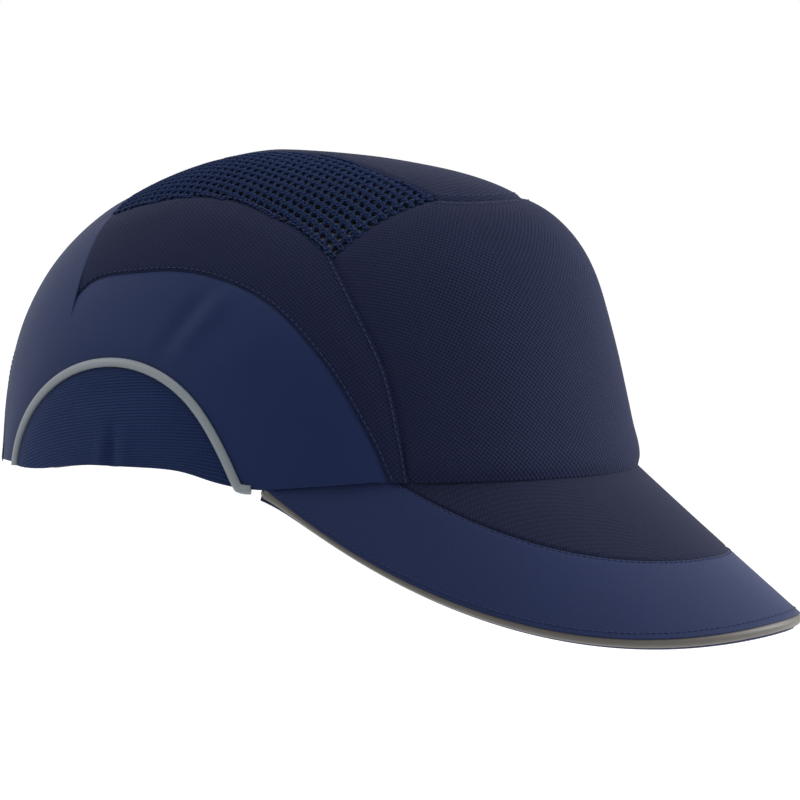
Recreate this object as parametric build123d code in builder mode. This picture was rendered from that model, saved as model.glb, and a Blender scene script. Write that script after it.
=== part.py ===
"""Bump cap: a fabric baseball-style cover over a hard liner, with a stiffened peak.

Millimetres, +Z up, the peak points along -Y. The origin is the centre of the head
opening, where it is widest, in the plane of the rim.
"""

import os
from math import acos, asin, cos, degrees, pi, radians, sin

from build123d import *

os.makedirs("parts", exist_ok=True)

# ---- crown form: the outside of the fabric cover -------------------------------
opening_front = 120.5  # rim, widest point to the forehead
opening_back = 93.3  # rim, widest point to the nape
opening_half_width = 85.0
crown_height = 100.0
front_lean, front_square, front_round = 0.18, 7.5, 1.71
back_lean, back_square, back_round = 0.12, 3.4, 1.61
side_lean, side_square, side_round = 0.06, 2.5, 1.90
section_levels = (0.0, 0.12, 0.27, 0.43, 0.58, 0.71, 0.82, 0.90, 0.955, 0.985)

# ---- layers, from the outside in -----------------------------------------------
cover_thickness = 1.2
layer_clearance = 0.3
shell_thickness = 2.2
pad_thickness = 5.0
sweatband_thickness = 2.0
sweatband_height = 34.0
sweatband_gap_margin = 5.0  # from the arch's binding to the sweatband's ends
rim_clearance = 0.3

# ---- cover seams, side view (Y, Z), from the top or the back downwards ---------
mesh_corner_x, mesh_corner_y, mesh_corner_z = 57.7, -42.0, 68.0
front_seam_points = ((-51.5, 54.6), (-63.2, 34.3), (-71.7, 2.0), (-75.0, -12.0))
back_seam_y = 45.5
lower_seam_points = (
    (back_seam_y, 57.0),
    (28.0, 61.6),
    (6.5, 63.2),
    (-12.0, 59.7),
    (-29.6, 51.0),
    (-46.9, 33.8),
    (-59.6, 13.8),
    (-65.0, 2.0),
    (-68.0, -12.0),
)
mesh_edge_points = ((back_seam_y, 79.7), (32.0, 83.2), (13.7, 86.0), (-5.0, 84.5), (-25.6, 77.5))
ear_centre_y = 24.0
ear_half_length = 45.0
ear_height = 34.5
ear_piping_width = 2.6
ear_piping_height = 1.6

# ---- cover seams, top view (X, Y) ----------------------------------------------
strip_front_y = -65.0
strip_front_middle_y = -82.0  # the seam bows forward between its two corners
strip_front_half_width = 27.0
strip_half_width = 7.0
strip_taper_y = -20.0

# ---- peak ----------------------------------------------------------------------
peak_start_y = -26.0
peak_reach = 150.0  # from the start to the tip, in plan
peak_half_width = 83.0
peak_drop = 46.0
peak_arch = 2.5  # how far the middle of the edge stands above its deepest points
peak_drop_power = 3.6
peak_tuck = 1.5  # how far it reaches in under the rim
peak_board_thickness = 2.4
peak_cover_thickness = 0.9
peak_layer_clearance = 0.1
peak_cover_margin = 1.2  # the covers stop short of the edge, and the piping fills it
peak_piping_width = 2.6
peak_piping_thickness = 3.4
peak_piping_depth = 0.5
peak_steps = 14
peak_rows = 4  # spans from the rim to the edge
peak_turn_limit = 0.985  # the ends stop just before they close to a point
turn_step, along_step = 0.002, 1.0  # for the sheet's normals
peak_seam_reach = 124.0
peak_seam_half_width = 66.0

# ---- rear adjuster -------------------------------------------------------------
arch_half_width = 44.0
arch_height = 40.0
arch_binding_width = 6.0
arch_binding_thickness = 0.6
strap_width = 20.0
strap_bottom = 4.0
strap_thickness = 1.2
patch_thickness = 0.8
patch_edge_margin = 1.0
patch_strap_gap = 0.4
patch_seat_gap = 0.15
strap_overlap_angle = 12.1  # how far the strap and the ring's tab are sewn in past the arch
tab_inset_angle = 2.5
ring_angle = 9.4
ring_gap_angle = 0.8
tail_start_angle, tail_end_angle = -9.0, 19.0
patch_start_angle, patch_end_angle = -8.0, 9.0
ring_bar_angle = 2.2
ring_bar_height = 2.4
ring_thickness = 2.8
ring_slot_clearance = 0.4

# ---- hard liner ----------------------------------------------------------------
shell_bottom = 5.0
shell_arch_gap = 3.5  # above the arch's binding
shell_back_start_y = 28.0
shell_back_rise_y = 64.0
vent_length, vent_width = 22.0, 6.0
vent_rows, vent_columns = 3, 3
vent_row_pitch, vent_column_pitch = 34.0, 22.0
vent_centre_y = -14.0

# ---- pads ----------------------------------------------------------------------
crown_pad_half_length, crown_pad_half_width, crown_pad_y = 46.0, 34.0, -12.0
pad_bottom = 36.5
pad_top = 60.0
front_pad_half_width = 42.0
side_pad_start_y, side_pad_end_y = -34.0, 30.0
rear_pad_half_width, rear_pad_margin = 34.0, 1.5

reach = 200.0  # longer than the object, for cutting right through


def half_length(size, lean, square, rounding, level):
    """One half-axis of the crown at a level from 0, the rim, to 1, the top."""
    return size * (1 - lean * level) * (1 - max(level, 0) ** square) ** (1 / rounding)


def crown_axes(level, inset):
    front = half_length(opening_front - inset, front_lean, front_square, front_round, level)
    back = half_length(opening_back - inset, back_lean, back_square, back_round, level)
    side = half_length(opening_half_width - inset, side_lean, side_square, side_round, level)
    return front, back, side


def crown(inset):
    """The solid form of the crown, drawn in evenly by the inset."""
    with BuildPart() as form:
        for level in section_levels:
            front, back, side = crown_axes(level, inset)
            with BuildSketch(Plane.XY.offset(level * (crown_height - inset))):
                with BuildLine():
                    EllipticalCenterArc((0, 0), side, front, 180, arc_size=180)
                    EllipticalCenterArc((0, 0), side, back, 0, arc_size=180)
                make_face()
        loft()
    return form.part


def layer(outer_inset, inner_inset):
    """A shell of the crown between two insets, open at the rim."""
    with BuildPart() as shell:
        add(crown(outer_inset))
        add(crown(inner_inset), mode=Mode.SUBTRACT)
    return shell.part


# ---- zones: what each seam encloses, right through the cap ----------------------
strip_front_arc = (
    (-strip_front_half_width, strip_front_y),
    (0, strip_front_middle_y),
    (strip_front_half_width, strip_front_y),
)

with BuildPart() as front_zone:
    with BuildSketch(Plane.YZ):
        with BuildLine():
            Spline((mesh_corner_y, mesh_corner_z), *front_seam_points)
            Polyline(
                front_seam_points[-1],
                (-reach, front_seam_points[-1][1]),
                (-reach, mesh_corner_z),
                (mesh_corner_y, mesh_corner_z),
            )
        make_face()
    extrude(amount=reach, both=True)
    with BuildSketch(Plane.XY.offset(mesh_corner_z)):
        with BuildLine():
            ThreePointArc(*strip_front_arc)
            Polyline(
                (strip_front_half_width, strip_front_y),
                (mesh_corner_x, mesh_corner_y),
                (reach, mesh_corner_y),
                (reach, -reach),
                (-reach, -reach),
                (-reach, mesh_corner_y),
                (-mesh_corner_x, mesh_corner_y),
                (-strip_front_half_width, strip_front_y),
            )
        make_face()
    extrude(amount=reach)

with BuildPart() as back_zone:
    with BuildSketch(Plane.YZ):
        with Locations((back_seam_y, 0)):
            Rectangle(reach, 2 * reach, align=(Align.MIN, Align.CENTER))
    extrude(amount=reach, both=True)

with BuildPart() as mesh_zone:
    with BuildSketch(Plane.YZ):
        with BuildLine():
            Spline(*mesh_edge_points, (mesh_corner_y, mesh_corner_z))
            Polyline(
                (mesh_corner_y, mesh_corner_z),
                (strip_front_y - strip_front_half_width, mesh_corner_z),
                (strip_front_y - strip_front_half_width, reach),
                (mesh_edge_points[0][0], reach),
                mesh_edge_points[0],
            )
        make_face()
    extrude(amount=reach, both=True)

with BuildPart() as lower_zone:
    with BuildSketch(Plane.YZ):
        with BuildLine():
            Spline(*lower_seam_points)
            Polyline(
                lower_seam_points[-1],
                (lower_seam_points[0][0], lower_seam_points[-1][1]),
                lower_seam_points[0],
            )
        make_face()
    extrude(amount=reach, both=True)

with BuildPart() as ear_zone:
    with BuildSketch(Plane.YZ):
        with Locations((ear_centre_y, 0)):
            Ellipse(ear_half_length, ear_height)
    extrude(amount=reach, both=True)

with BuildPart() as ear_band:
    with BuildSketch(Plane.YZ):
        with Locations((ear_centre_y, 0)):
            Ellipse(ear_half_length + ear_piping_width / 2, ear_height + ear_piping_width / 2)
            Ellipse(
                ear_half_length - ear_piping_width / 2,
                ear_height - ear_piping_width / 2,
                mode=Mode.SUBTRACT,
            )
    extrude(amount=reach, both=True)

with BuildPart() as strip_zone:
    with BuildSketch(Plane.XY):
        with BuildLine():
            ThreePointArc(*strip_front_arc)
            Polyline(
                (strip_front_half_width, strip_front_y),
                (strip_half_width, strip_taper_y),
                (strip_half_width, back_seam_y),
                (-strip_half_width, back_seam_y),
                (-strip_half_width, strip_taper_y),
                (-strip_front_half_width, strip_front_y),
            )
        make_face()
    extrude(amount=reach)

with BuildPart() as arch_zone:
    with BuildSketch(Plane.XZ):
        with BuildLine():
            EllipticalCenterArc((0, 0), arch_half_width, arch_height, 0, arc_size=180)
            Polyline(
                (-arch_half_width, 0),
                (-arch_half_width, -reach),
                (arch_half_width, -reach),
                (arch_half_width, 0),
            )
        make_face()
    extrude(amount=-reach)

with BuildPart() as right_half:
    Box(reach, 2 * reach, 2 * reach, align=(Align.MAX, Align.CENTER, Align.CENTER))

# ---- fabric cover ----------------------------------------------------------------
cover = layer(0, cover_thickness)

with BuildPart() as front_panel:
    add(cover)
    add(front_zone.part, mode=Mode.INTERSECT)

with BuildPart() as back_panel:
    add(cover)
    add(back_zone.part, mode=Mode.INTERSECT)
    add(ear_zone.part, mode=Mode.SUBTRACT)
    add(arch_zone.part, mode=Mode.SUBTRACT)

with BuildPart() as crown_strip:
    add(cover)
    add(strip_zone.part, mode=Mode.INTERSECT)

with BuildPart() as mesh_panel_right:
    add(cover)
    add(right_half.part, mode=Mode.INTERSECT)
    add(mesh_zone.part, mode=Mode.INTERSECT)
    add(front_zone.part, mode=Mode.SUBTRACT)
    add(strip_zone.part, mode=Mode.SUBTRACT)

with BuildPart() as side_panel_right:
    add(cover)
    add(right_half.part, mode=Mode.INTERSECT)
    for zone in (front_zone, back_zone, mesh_zone, lower_zone):
        add(zone.part, mode=Mode.SUBTRACT)

with BuildPart() as lower_panel_right:
    add(cover)
    add(right_half.part, mode=Mode.INTERSECT)
    add(lower_zone.part, mode=Mode.INTERSECT)
    add(ear_zone.part, mode=Mode.SUBTRACT)

with BuildPart() as ear_panel_right:
    add(cover)
    add(right_half.part, mode=Mode.INTERSECT)
    add(ear_zone.part, mode=Mode.INTERSECT)
    add(arch_zone.part, mode=Mode.SUBTRACT)

with BuildPart() as ear_piping_right:
    add(layer(-ear_piping_height, 0))
    add(right_half.part, mode=Mode.INTERSECT)
    add(ear_band.part, mode=Mode.INTERSECT)

# ---- peak ------------------------------------------------------------------------
peak_start_angle = degrees(acos(-peak_start_y / opening_front))


def peak_top(turn, along):
    """A point on the top of the peak. The turn is -1 to 1 across it, along is in mm from the rim."""
    rim_angle = radians(peak_start_angle * turn)
    start = Vector(
        (opening_half_width - peak_tuck) * sin(rim_angle),
        -(opening_front - peak_tuck) * cos(rim_angle),
        -rim_clearance,
    )
    angle = pi / 2 * turn
    depth = peak_drop * (1 - abs(turn) ** peak_drop_power) - peak_arch * cos(angle) ** 4
    end = Vector(
        peak_half_width * sin(angle),
        peak_start_y - peak_reach * cos(angle),
        -depth - rim_clearance,
    )
    direction = end - start
    return start + direction * (along / direction.length), direction.length


def peak_sheet(depth, inner=0.0, outer=0.0, edge_only=False):
    """A curved face parallel to the peak's top, so deep under it, from the rim to past the edge."""
    rows = []
    for step in range(-peak_steps, peak_steps + 1):
        turn = peak_turn_limit * step / peak_steps
        span = peak_top(turn, 0)[1]
        first = inner + (span if edge_only else 0)
        row = []
        for share in range(peak_rows + 1):
            along = first + share / peak_rows * (span + outer - first)
            point = peak_top(turn, along)[0]
            across = peak_top(turn + turn_step, along)[0] - peak_top(turn - turn_step, along)[0]
            outwards = peak_top(turn, along + along_step)[0] - peak_top(turn, along - along_step)[0]
            row.append(point + across.cross(outwards).normalized() * depth)
        rows.append(row)
    return Face.make_surface_from_array_of_points(rows)


down = (0, 0, -1)
board_depth = peak_cover_thickness + peak_layer_clearance
under_cover_depth = board_depth + peak_board_thickness + peak_layer_clearance

with BuildPart() as peak_cover:
    thicken(peak_sheet(0, outer=-peak_cover_margin), amount=peak_cover_thickness, normal_override=down)

with BuildPart() as peak_seam_zone:
    with BuildSketch(Plane.XY.offset(-reach)):
        with Locations((0, peak_start_y)):
            Ellipse(peak_seam_half_width, peak_seam_reach)
    extrude(amount=2 * reach)

with BuildPart() as peak_inner_cover:
    add(peak_cover.part)
    add(peak_seam_zone.part, mode=Mode.INTERSECT)

with BuildPart() as peak_outer_cover:
    add(peak_cover.part)
    add(peak_seam_zone.part, mode=Mode.SUBTRACT)

with BuildPart() as peak_board:
    board_sheet = peak_sheet(board_depth, outer=-peak_cover_margin)
    thicken(board_sheet, amount=peak_board_thickness, normal_override=down)

with BuildPart() as peak_under_cover:
    under_sheet = peak_sheet(under_cover_depth, outer=-peak_cover_margin)
    thicken(under_sheet, amount=peak_cover_thickness, normal_override=down)

with BuildPart() as peak_piping:
    piping_sheet = peak_sheet(
        peak_piping_depth,
        inner=peak_layer_clearance - peak_cover_margin,
        outer=peak_piping_width - peak_cover_margin,
        edge_only=True,
    )
    thicken(piping_sheet, amount=peak_piping_thickness, normal_override=down)

# ---- sweatband, hard liner and pads ------------------------------------------------
shell_outer = cover_thickness + layer_clearance
shell_inner = shell_outer + shell_thickness
pad_outer = shell_inner + layer_clearance
pad_inner = pad_outer + pad_thickness
sweatband_inner = pad_outer + sweatband_thickness
binding_half_width = arch_half_width + arch_binding_width
binding_height = arch_height + arch_binding_width
shell_back_bottom = binding_height + shell_arch_gap
rear_pad_bottom = shell_back_bottom + rear_pad_margin

with BuildPart() as sweatband:
    add(layer(pad_outer, sweatband_inner))
    Box(
        reach,
        2 * reach,
        sweatband_height,
        align=(Align.CENTER, Align.CENTER, Align.MIN),
        mode=Mode.INTERSECT,
    )
with BuildPart() as sweatband_foot:
    add(layer(shell_outer, pad_outer))
    with Locations((0, 0, rim_clearance)):
        Box(
            reach,
            2 * reach,
            shell_bottom - layer_clearance - rim_clearance,
            align=(Align.CENTER, Align.CENTER, Align.MIN),
            mode=Mode.INTERSECT,
        )
with sweatband:
    add(sweatband_foot.part)
    Box(
        2 * (binding_half_width + sweatband_gap_margin),
        reach,
        reach,
        align=(Align.CENTER, Align.MIN, Align.CENTER),
        mode=Mode.SUBTRACT,
    )

with BuildPart() as hard_shell:
    add(layer(shell_outer, shell_inner))
    with BuildSketch(Plane.YZ):
        Polygon(
            (-reach, shell_bottom),
            (shell_back_start_y, shell_bottom),
            (shell_back_rise_y, shell_back_bottom),
            (reach, shell_back_bottom),
            (reach, reach),
            (-reach, reach),
            align=None,
        )
    extrude(amount=reach, both=True, mode=Mode.INTERSECT)
    with BuildSketch(Plane.XY):
        with Locations((0, vent_centre_y)):
            with GridLocations(vent_column_pitch, vent_row_pitch, vent_columns, vent_rows):
                SlotOverall(vent_length, vent_width, rotation=90)
    extrude(amount=reach, mode=Mode.SUBTRACT)

pad_layer = layer(pad_outer, pad_inner)

with BuildPart() as crown_pad:
    add(pad_layer)
    with BuildSketch(Plane.XY.offset(pad_top + layer_clearance)):
        with Locations((0, crown_pad_y)):
            Ellipse(crown_pad_half_width, crown_pad_half_length)
    extrude(amount=reach, mode=Mode.INTERSECT)

with BuildPart() as front_pad:
    add(pad_layer)
    with Locations((0, 0, pad_bottom)):
        Box(
            2 * front_pad_half_width,
            reach,
            pad_top - pad_bottom,
            align=(Align.CENTER, Align.MAX, Align.MIN),
            mode=Mode.INTERSECT,
        )

with BuildPart() as rear_pad:
    add(pad_layer)
    with Locations((0, 0, rear_pad_bottom)):
        Box(
            2 * rear_pad_half_width,
            reach,
            pad_top - rear_pad_bottom,
            align=(Align.CENTER, Align.MIN, Align.MIN),
            mode=Mode.INTERSECT,
        )

with BuildPart() as side_pad_right:
    add(pad_layer)
    with Locations((0, side_pad_start_y, pad_bottom)):
        Box(
            reach,
            side_pad_end_y - side_pad_start_y,
            pad_top - pad_bottom,
            align=(Align.MAX, Align.MIN, Align.MIN),
            mode=Mode.INTERSECT,
        )

# ---- rear adjuster -----------------------------------------------------------------
strap_middle = strap_bottom + strap_width / 2
_, rear_length, rear_half_width = crown_axes(strap_middle / crown_height, 0)
rear_radius = rear_half_width**2 / rear_length
rear_centre_y = rear_length - rear_radius
rear_axis = Axis((0, rear_centre_y, 0), (0, 0, -1))
arch_end_angle = degrees(asin(arch_half_width / rear_radius))
tab_start_angle = arch_end_angle + tab_inset_angle
tab_end_angle = arch_end_angle + strap_overlap_angle
strap_start_angle = -tab_end_angle
ring_end_angle = tab_start_angle - ring_gap_angle
ring_start_angle = ring_end_angle - ring_angle
strap_end_angle = ring_start_angle - ring_gap_angle


def rear_plane(angle):
    """An upright plane through the rear arc's axis. The angle runs from the nape to the wearer's left."""
    across, along = sin(radians(angle)), cos(radians(angle))
    return Plane(origin=(0, rear_centre_y, 0), x_dir=(across, along, 0), z_dir=(along, -across, 0))


def rear_outline(outer_inset, inner_inset, bottom, top):
    """The corners of a leaning strip parallel to the crown's rear."""
    low_radius = crown_axes(bottom / crown_height, 0)[1] - rear_centre_y
    high_radius = crown_axes(top / crown_height, 0)[1] - rear_centre_y
    return (
        (low_radius - inner_inset, bottom),
        (low_radius - outer_inset, bottom),
        (high_radius - outer_inset, top),
        (high_radius - inner_inset, top),
    )


strap_inset = cover_thickness + arch_binding_thickness + 2 * layer_clearance
strap_top = strap_bottom + strap_width
patch_inset = strap_inset - patch_strap_gap - patch_thickness
tail_inset = patch_inset - patch_seat_gap - strap_thickness
binding_inset = cover_thickness + layer_clearance / 2

with BuildPart() as arch_binding:
    add(layer(binding_inset, binding_inset + arch_binding_thickness))
    with BuildSketch(Plane.XZ):
        Ellipse(binding_half_width, binding_height)
        Ellipse(arch_half_width, arch_height, mode=Mode.SUBTRACT)
    extrude(amount=-reach, mode=Mode.INTERSECT)
    Box(reach, 2 * reach, reach, align=(Align.CENTER, Align.CENTER, Align.MIN), mode=Mode.INTERSECT)

with BuildPart() as strap:
    with BuildSketch(rear_plane(strap_start_angle)):
        Polygon(
            *rear_outline(strap_inset, strap_inset + strap_thickness, strap_bottom, strap_top), align=None
        )
    revolve(axis=rear_axis, revolution_arc=strap_end_angle - strap_start_angle)

with BuildPart() as ring_tab:
    with BuildSketch(rear_plane(tab_start_angle)):
        Polygon(
            *rear_outline(strap_inset, strap_inset + strap_thickness, strap_bottom, strap_top), align=None
        )
    revolve(axis=rear_axis, revolution_arc=tab_end_angle - tab_start_angle)

with BuildPart() as strap_tail:
    with BuildSketch(rear_plane(tail_start_angle)):
        Polygon(
            *rear_outline(tail_inset, tail_inset + strap_thickness, strap_bottom, strap_top), align=None
        )
    revolve(axis=rear_axis, revolution_arc=tail_end_angle - tail_start_angle)

with BuildPart() as hook_patch:
    with BuildSketch(rear_plane(patch_start_angle)):
        Polygon(
            *rear_outline(
                patch_inset,
                patch_inset + patch_thickness,
                strap_bottom + patch_edge_margin,
                strap_top - patch_edge_margin,
            ),
            align=None,
        )
    revolve(axis=rear_axis, revolution_arc=patch_end_angle - patch_start_angle)

with BuildPart() as ring:
    with BuildSketch(rear_plane(ring_start_angle)):
        Polygon(
            *rear_outline(
                strap_inset + layer_clearance,
                strap_inset + layer_clearance + ring_thickness,
                strap_bottom - ring_bar_height,
                strap_top + ring_bar_height,
            ),
            align=None,
        )
    revolve(axis=rear_axis, revolution_arc=ring_end_angle - ring_start_angle)
    with BuildSketch(rear_plane(ring_start_angle + ring_bar_angle)):
        Polygon(
            *rear_outline(
                strap_inset,
                strap_inset + ring_thickness + 2 * layer_clearance,
                strap_bottom - ring_slot_clearance,
                strap_top + ring_slot_clearance,
            ),
            align=None,
        )
    revolve(
        axis=rear_axis,
        revolution_arc=ring_end_angle - ring_start_angle - 2 * ring_bar_angle,
        mode=Mode.SUBTRACT,
    )

# ---- names and files ---------------------------------------------------------------
single_pieces = {
    "front_panel": front_panel,
    "back_panel": back_panel,
    "crown_strip": crown_strip,
    "peak_inner_cover": peak_inner_cover,
    "peak_outer_cover": peak_outer_cover,
    "peak_board": peak_board,
    "peak_under_cover": peak_under_cover,
    "peak_piping": peak_piping,
    "sweatband": sweatband,
    "hard_shell": hard_shell,
    "crown_pad": crown_pad,
    "front_pad": front_pad,
    "rear_pad": rear_pad,
    "arch_binding": arch_binding,
    "strap": strap,
    "strap_tail": strap_tail,
    "hook_patch": hook_patch,
    "ring": ring,
    "ring_tab": ring_tab,
}
paired_pieces = {
    "mesh_panel": mesh_panel_right,
    "side_panel": side_panel_right,
    "lower_panel": lower_panel_right,
    "ear_panel": ear_panel_right,
    "ear_piping": ear_piping_right,
    "side_pad": side_pad_right,
}

for name, piece in single_pieces.items():
    piece.part.label = name
    export_step(piece.part, f"parts/{name}.step")

for name, piece in paired_pieces.items():
    piece.part.label = f"{name}_right"
    export_step(piece.part, f"parts/{name}_right.step")
    with BuildPart() as other_side:
        mirror(piece.part, about=Plane.YZ)
    other_side.part.label = f"{name}_left"
    export_step(other_side.part, f"parts/{name}_left.step")
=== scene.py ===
from math import pi, radians

import bmesh
import bpy
import numpy as np
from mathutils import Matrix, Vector, noise


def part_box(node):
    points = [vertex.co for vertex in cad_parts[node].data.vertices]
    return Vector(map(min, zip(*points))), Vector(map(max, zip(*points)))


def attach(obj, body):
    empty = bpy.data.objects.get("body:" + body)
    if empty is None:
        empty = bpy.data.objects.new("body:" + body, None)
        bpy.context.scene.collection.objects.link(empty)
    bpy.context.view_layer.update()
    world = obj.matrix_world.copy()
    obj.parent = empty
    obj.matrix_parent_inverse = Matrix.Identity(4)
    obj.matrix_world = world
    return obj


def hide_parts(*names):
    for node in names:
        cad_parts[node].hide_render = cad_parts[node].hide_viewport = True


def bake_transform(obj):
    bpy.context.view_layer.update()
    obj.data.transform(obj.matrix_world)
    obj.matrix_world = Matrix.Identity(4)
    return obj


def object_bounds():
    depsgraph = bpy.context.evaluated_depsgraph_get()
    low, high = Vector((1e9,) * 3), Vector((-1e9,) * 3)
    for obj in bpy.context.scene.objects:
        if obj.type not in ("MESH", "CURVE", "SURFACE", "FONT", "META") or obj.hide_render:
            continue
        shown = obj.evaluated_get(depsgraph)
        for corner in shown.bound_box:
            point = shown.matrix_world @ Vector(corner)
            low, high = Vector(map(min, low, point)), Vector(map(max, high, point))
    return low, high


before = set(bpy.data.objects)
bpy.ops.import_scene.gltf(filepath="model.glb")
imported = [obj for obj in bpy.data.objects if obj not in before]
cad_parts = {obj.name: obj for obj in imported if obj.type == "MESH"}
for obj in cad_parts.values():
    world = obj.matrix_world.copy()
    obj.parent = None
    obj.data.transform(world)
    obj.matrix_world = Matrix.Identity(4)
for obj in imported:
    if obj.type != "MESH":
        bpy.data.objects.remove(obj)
cad_low, cad_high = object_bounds()

# Sizes are millimetres here, and become metres where a mesh is made.
MM = 0.001
RIGHT, LEFT = -1, 1

# ---- crown form ----------------------------------------------------------------------------------
opening_front = -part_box("front_panel")[0].y / MM
opening_back = 93.3  # where the rear arch is cut away
opening_half_width = -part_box("ear_panel_right")[0].x / MM
top_section_level = 0.985
crown_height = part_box("crown_strip")[1].z / MM / top_section_level
front_shape = (0.18, 7.5, 1.71)  # lean, squareness, rounding
back_shape = (0.12, 3.4, 1.61)
side_shape = (0.06, 2.5, 1.90)

cover_thickness = 1.0
pad_outer, pad_inner = 4.15, 8.9
puff_run, dip_run = 6.0, 1.1  # how far from a seam the cloth's rise and its dip reach
wave_size, wave_run = 22.0, 9.0  # the cloth's unevenness, and how far from a seam it fades
hem_run = 4.0  # how far above the rim the hem's shape fades

# ---- seams, seen from the side as (Y, Z), and from above as (X, Y) -------------------------------
mesh_corner = (-42.0, 68.0)
front_seam = (mesh_corner, (-51.5, 54.6), (-63.2, 34.3), (-69.1, 14.0), (-72.0, 0.0))
back_seam_y = 45.5
mesh_lower_edge = ((back_seam_y, 79.7), (32.0, 83.2), (13.7, 86.0), (-5.0, 84.5), (-25.6, 77.5), mesh_corner)
lower_seam = (
    (back_seam_y, 55.0), (39.0, 59.6), (28.0, 61.8), (6.5, 63.2), (-12.0, 59.7),
    (-29.6, 51.0), (-46.9, 33.8), (-59.6, 13.8), (-66.0, 0.0),
)
ear_centre_y, ear_half_length, ear_height = 24.0, 45.0, 34.5
strip_corner = (-27.0, -65.0)
strip_front_y = -82.0
strip_side = (strip_corner, (-22.6, -49.9), (-15.0, -33.0), (-9.0, -22.0), (-7.0, -12.0))
strip_half_width = 7.0

# ---- rear arch and strap -------------------------------------------------------------------------
arch_half_width, arch_height = 44.0, 40.0
strap_bottom, strap_top, strap_thickness = 4.0, 24.0, 1.2

# ---- peak ----------------------------------------------------------------------------------------
peak_start_y, peak_reach, peak_half_width = -26.0, 150.0, 83.0
peak_drop, peak_arch, peak_drop_power, peak_tuck = 55.0, 9.5, 3.45, 1.5
peak_seam_reach, peak_seam_half_width = 126.0, 73.0
peak_turn_limit = 0.985
rim_clearance = 0.3


def half_length(size, shape, level):
    lean, square, rounding = shape
    level = np.clip(level, 0, 1)
    return size * (1 - lean * level) * (1 - level**square) ** (1 / rounding)


def crown_axes(level, inset=0.0):
    front = half_length(opening_front - inset, front_shape, level)
    back = half_length(opening_back - inset, back_shape, level)
    side = half_length(opening_half_width - inset, side_shape, level)
    return front, back, side


def is_outside(points, inset):
    level = points[..., 2] / (crown_height - inset)
    front, back, side = (np.maximum(axis, 1e-6) for axis in crown_axes(level, inset))
    length = np.where(points[..., 1] < 0, front, back)
    return ((points[..., 0] / side) ** 2 + (points[..., 1] / length) ** 2 > 1) | (level >= 1)


def onto_crown(points, inset=0.0):
    """Moves points along rays from the middle of the opening until they lie on the crown."""
    points = np.asarray(points, float)
    low, high = np.full(points.shape[:-1], 0.05), np.full(points.shape[:-1], 8.0)
    for _ in range(44):
        middle = (low + high) / 2
        out = is_outside(points * middle[..., None], inset)
        high, low = np.where(out, middle, high), np.where(out, low, middle)
    return points * low[..., None]


def unit(vectors):
    return vectors / np.maximum(np.linalg.norm(vectors, axis=-1, keepdims=True), 1e-12)


def crown_normals(points, inset=0.0):
    """Outward directions of the crown, from nearby points on it."""
    step = 0.4
    ray = unit(points)
    sideways = unit(np.cross(ray, np.array([0.12, 0.05, 1.0])))
    upwards = np.cross(sideways, ray)
    across = onto_crown(points + sideways * step, inset) - onto_crown(points - sideways * step, inset)
    rise = onto_crown(points + upwards * step, inset) - onto_crown(points - upwards * step, inset)
    normals = unit(np.cross(across, rise))
    return normals * np.sign(np.sum(normals * ray, axis=-1, keepdims=True))


# ---- curves --------------------------------------------------------------------------------------
def along(curve, shares):
    """Points on a polyline at these shares of its length."""
    curve = np.asarray(curve, float)
    at = np.concatenate([[0], np.cumsum(np.linalg.norm(np.diff(curve, axis=0), axis=1))])
    shares = np.asarray(shares) * at[-1]
    return np.stack([np.interp(shares, at, curve[:, k]) for k in range(curve.shape[1])], axis=1)


def smooth(points, count=160):
    """An even run of points along a smooth curve through the given ones."""
    points = np.asarray(points, float)
    guides = np.vstack([2 * points[0] - points[1], points, 2 * points[-1] - points[-2]])
    t = np.linspace(0, 1, 24, endpoint=False)[:, None]
    fine = [
        0.5 * (2 * b + (c - a) * t + (2 * a - 5 * b + 4 * c - d) * t**2 + (3 * b - a - 3 * c + d) * t**3)
        for a, b, c, d in zip(guides, guides[1:], guides[2:], guides[3:])
    ]
    return along(np.vstack(fine + [points[-1:]]), np.linspace(0, 1, count))


def length_of(curve):
    return float(np.linalg.norm(np.diff(curve, axis=0), axis=1).sum())


def from_side(points, side=RIGHT):
    """Crown points with these places seen from the side."""
    y, z = np.asarray(points, float).T
    front, back, width = crown_axes(z / crown_height)
    length = np.where(y < 0, front, back)
    x = side * width * np.sqrt(np.clip(1 - (y / length) ** 2, 0, 1))
    return np.stack([x, y, z], axis=1)


def from_above(points):
    """Crown points with these places seen from above."""
    x, y = np.asarray(points, float).T
    low, high = np.zeros(len(x)), np.full(len(x), crown_height)
    for _ in range(44):
        middle = (low + high) / 2
        out = is_outside(np.stack([x, y, middle], axis=1), 0.0)
        high, low = np.where(out, middle, high), np.where(out, low, middle)
    return np.stack([x, y, low], axis=1)


def rim(start_y, end_y, side=RIGHT, count=120):
    """The rim from one Y to another on one side, through the widest point if need be."""
    y = np.linspace(start_y, end_y, count)
    return from_side(np.stack([y, np.zeros(count)], axis=1), side)


def front_rim(side_y, count=240):
    start = np.arccos(-side_y / opening_front)
    turn = np.linspace(-start, start, count)
    return np.stack(
        [opening_half_width * np.sin(turn), -opening_front * np.cos(turn), np.zeros(count)], axis=1
    )


def mirrored(curve):
    return curve * np.array([-1.0, 1.0, 1.0])


# the seams as curves on the crown, on the wearer's right
front_seam_line = from_side(smooth(front_seam))
mesh_lower_line = from_side(smooth(mesh_lower_edge))
lower_seam_line = from_side(smooth(lower_seam))
ear_arch_turns = np.linspace(0, pi, 220)


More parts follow.
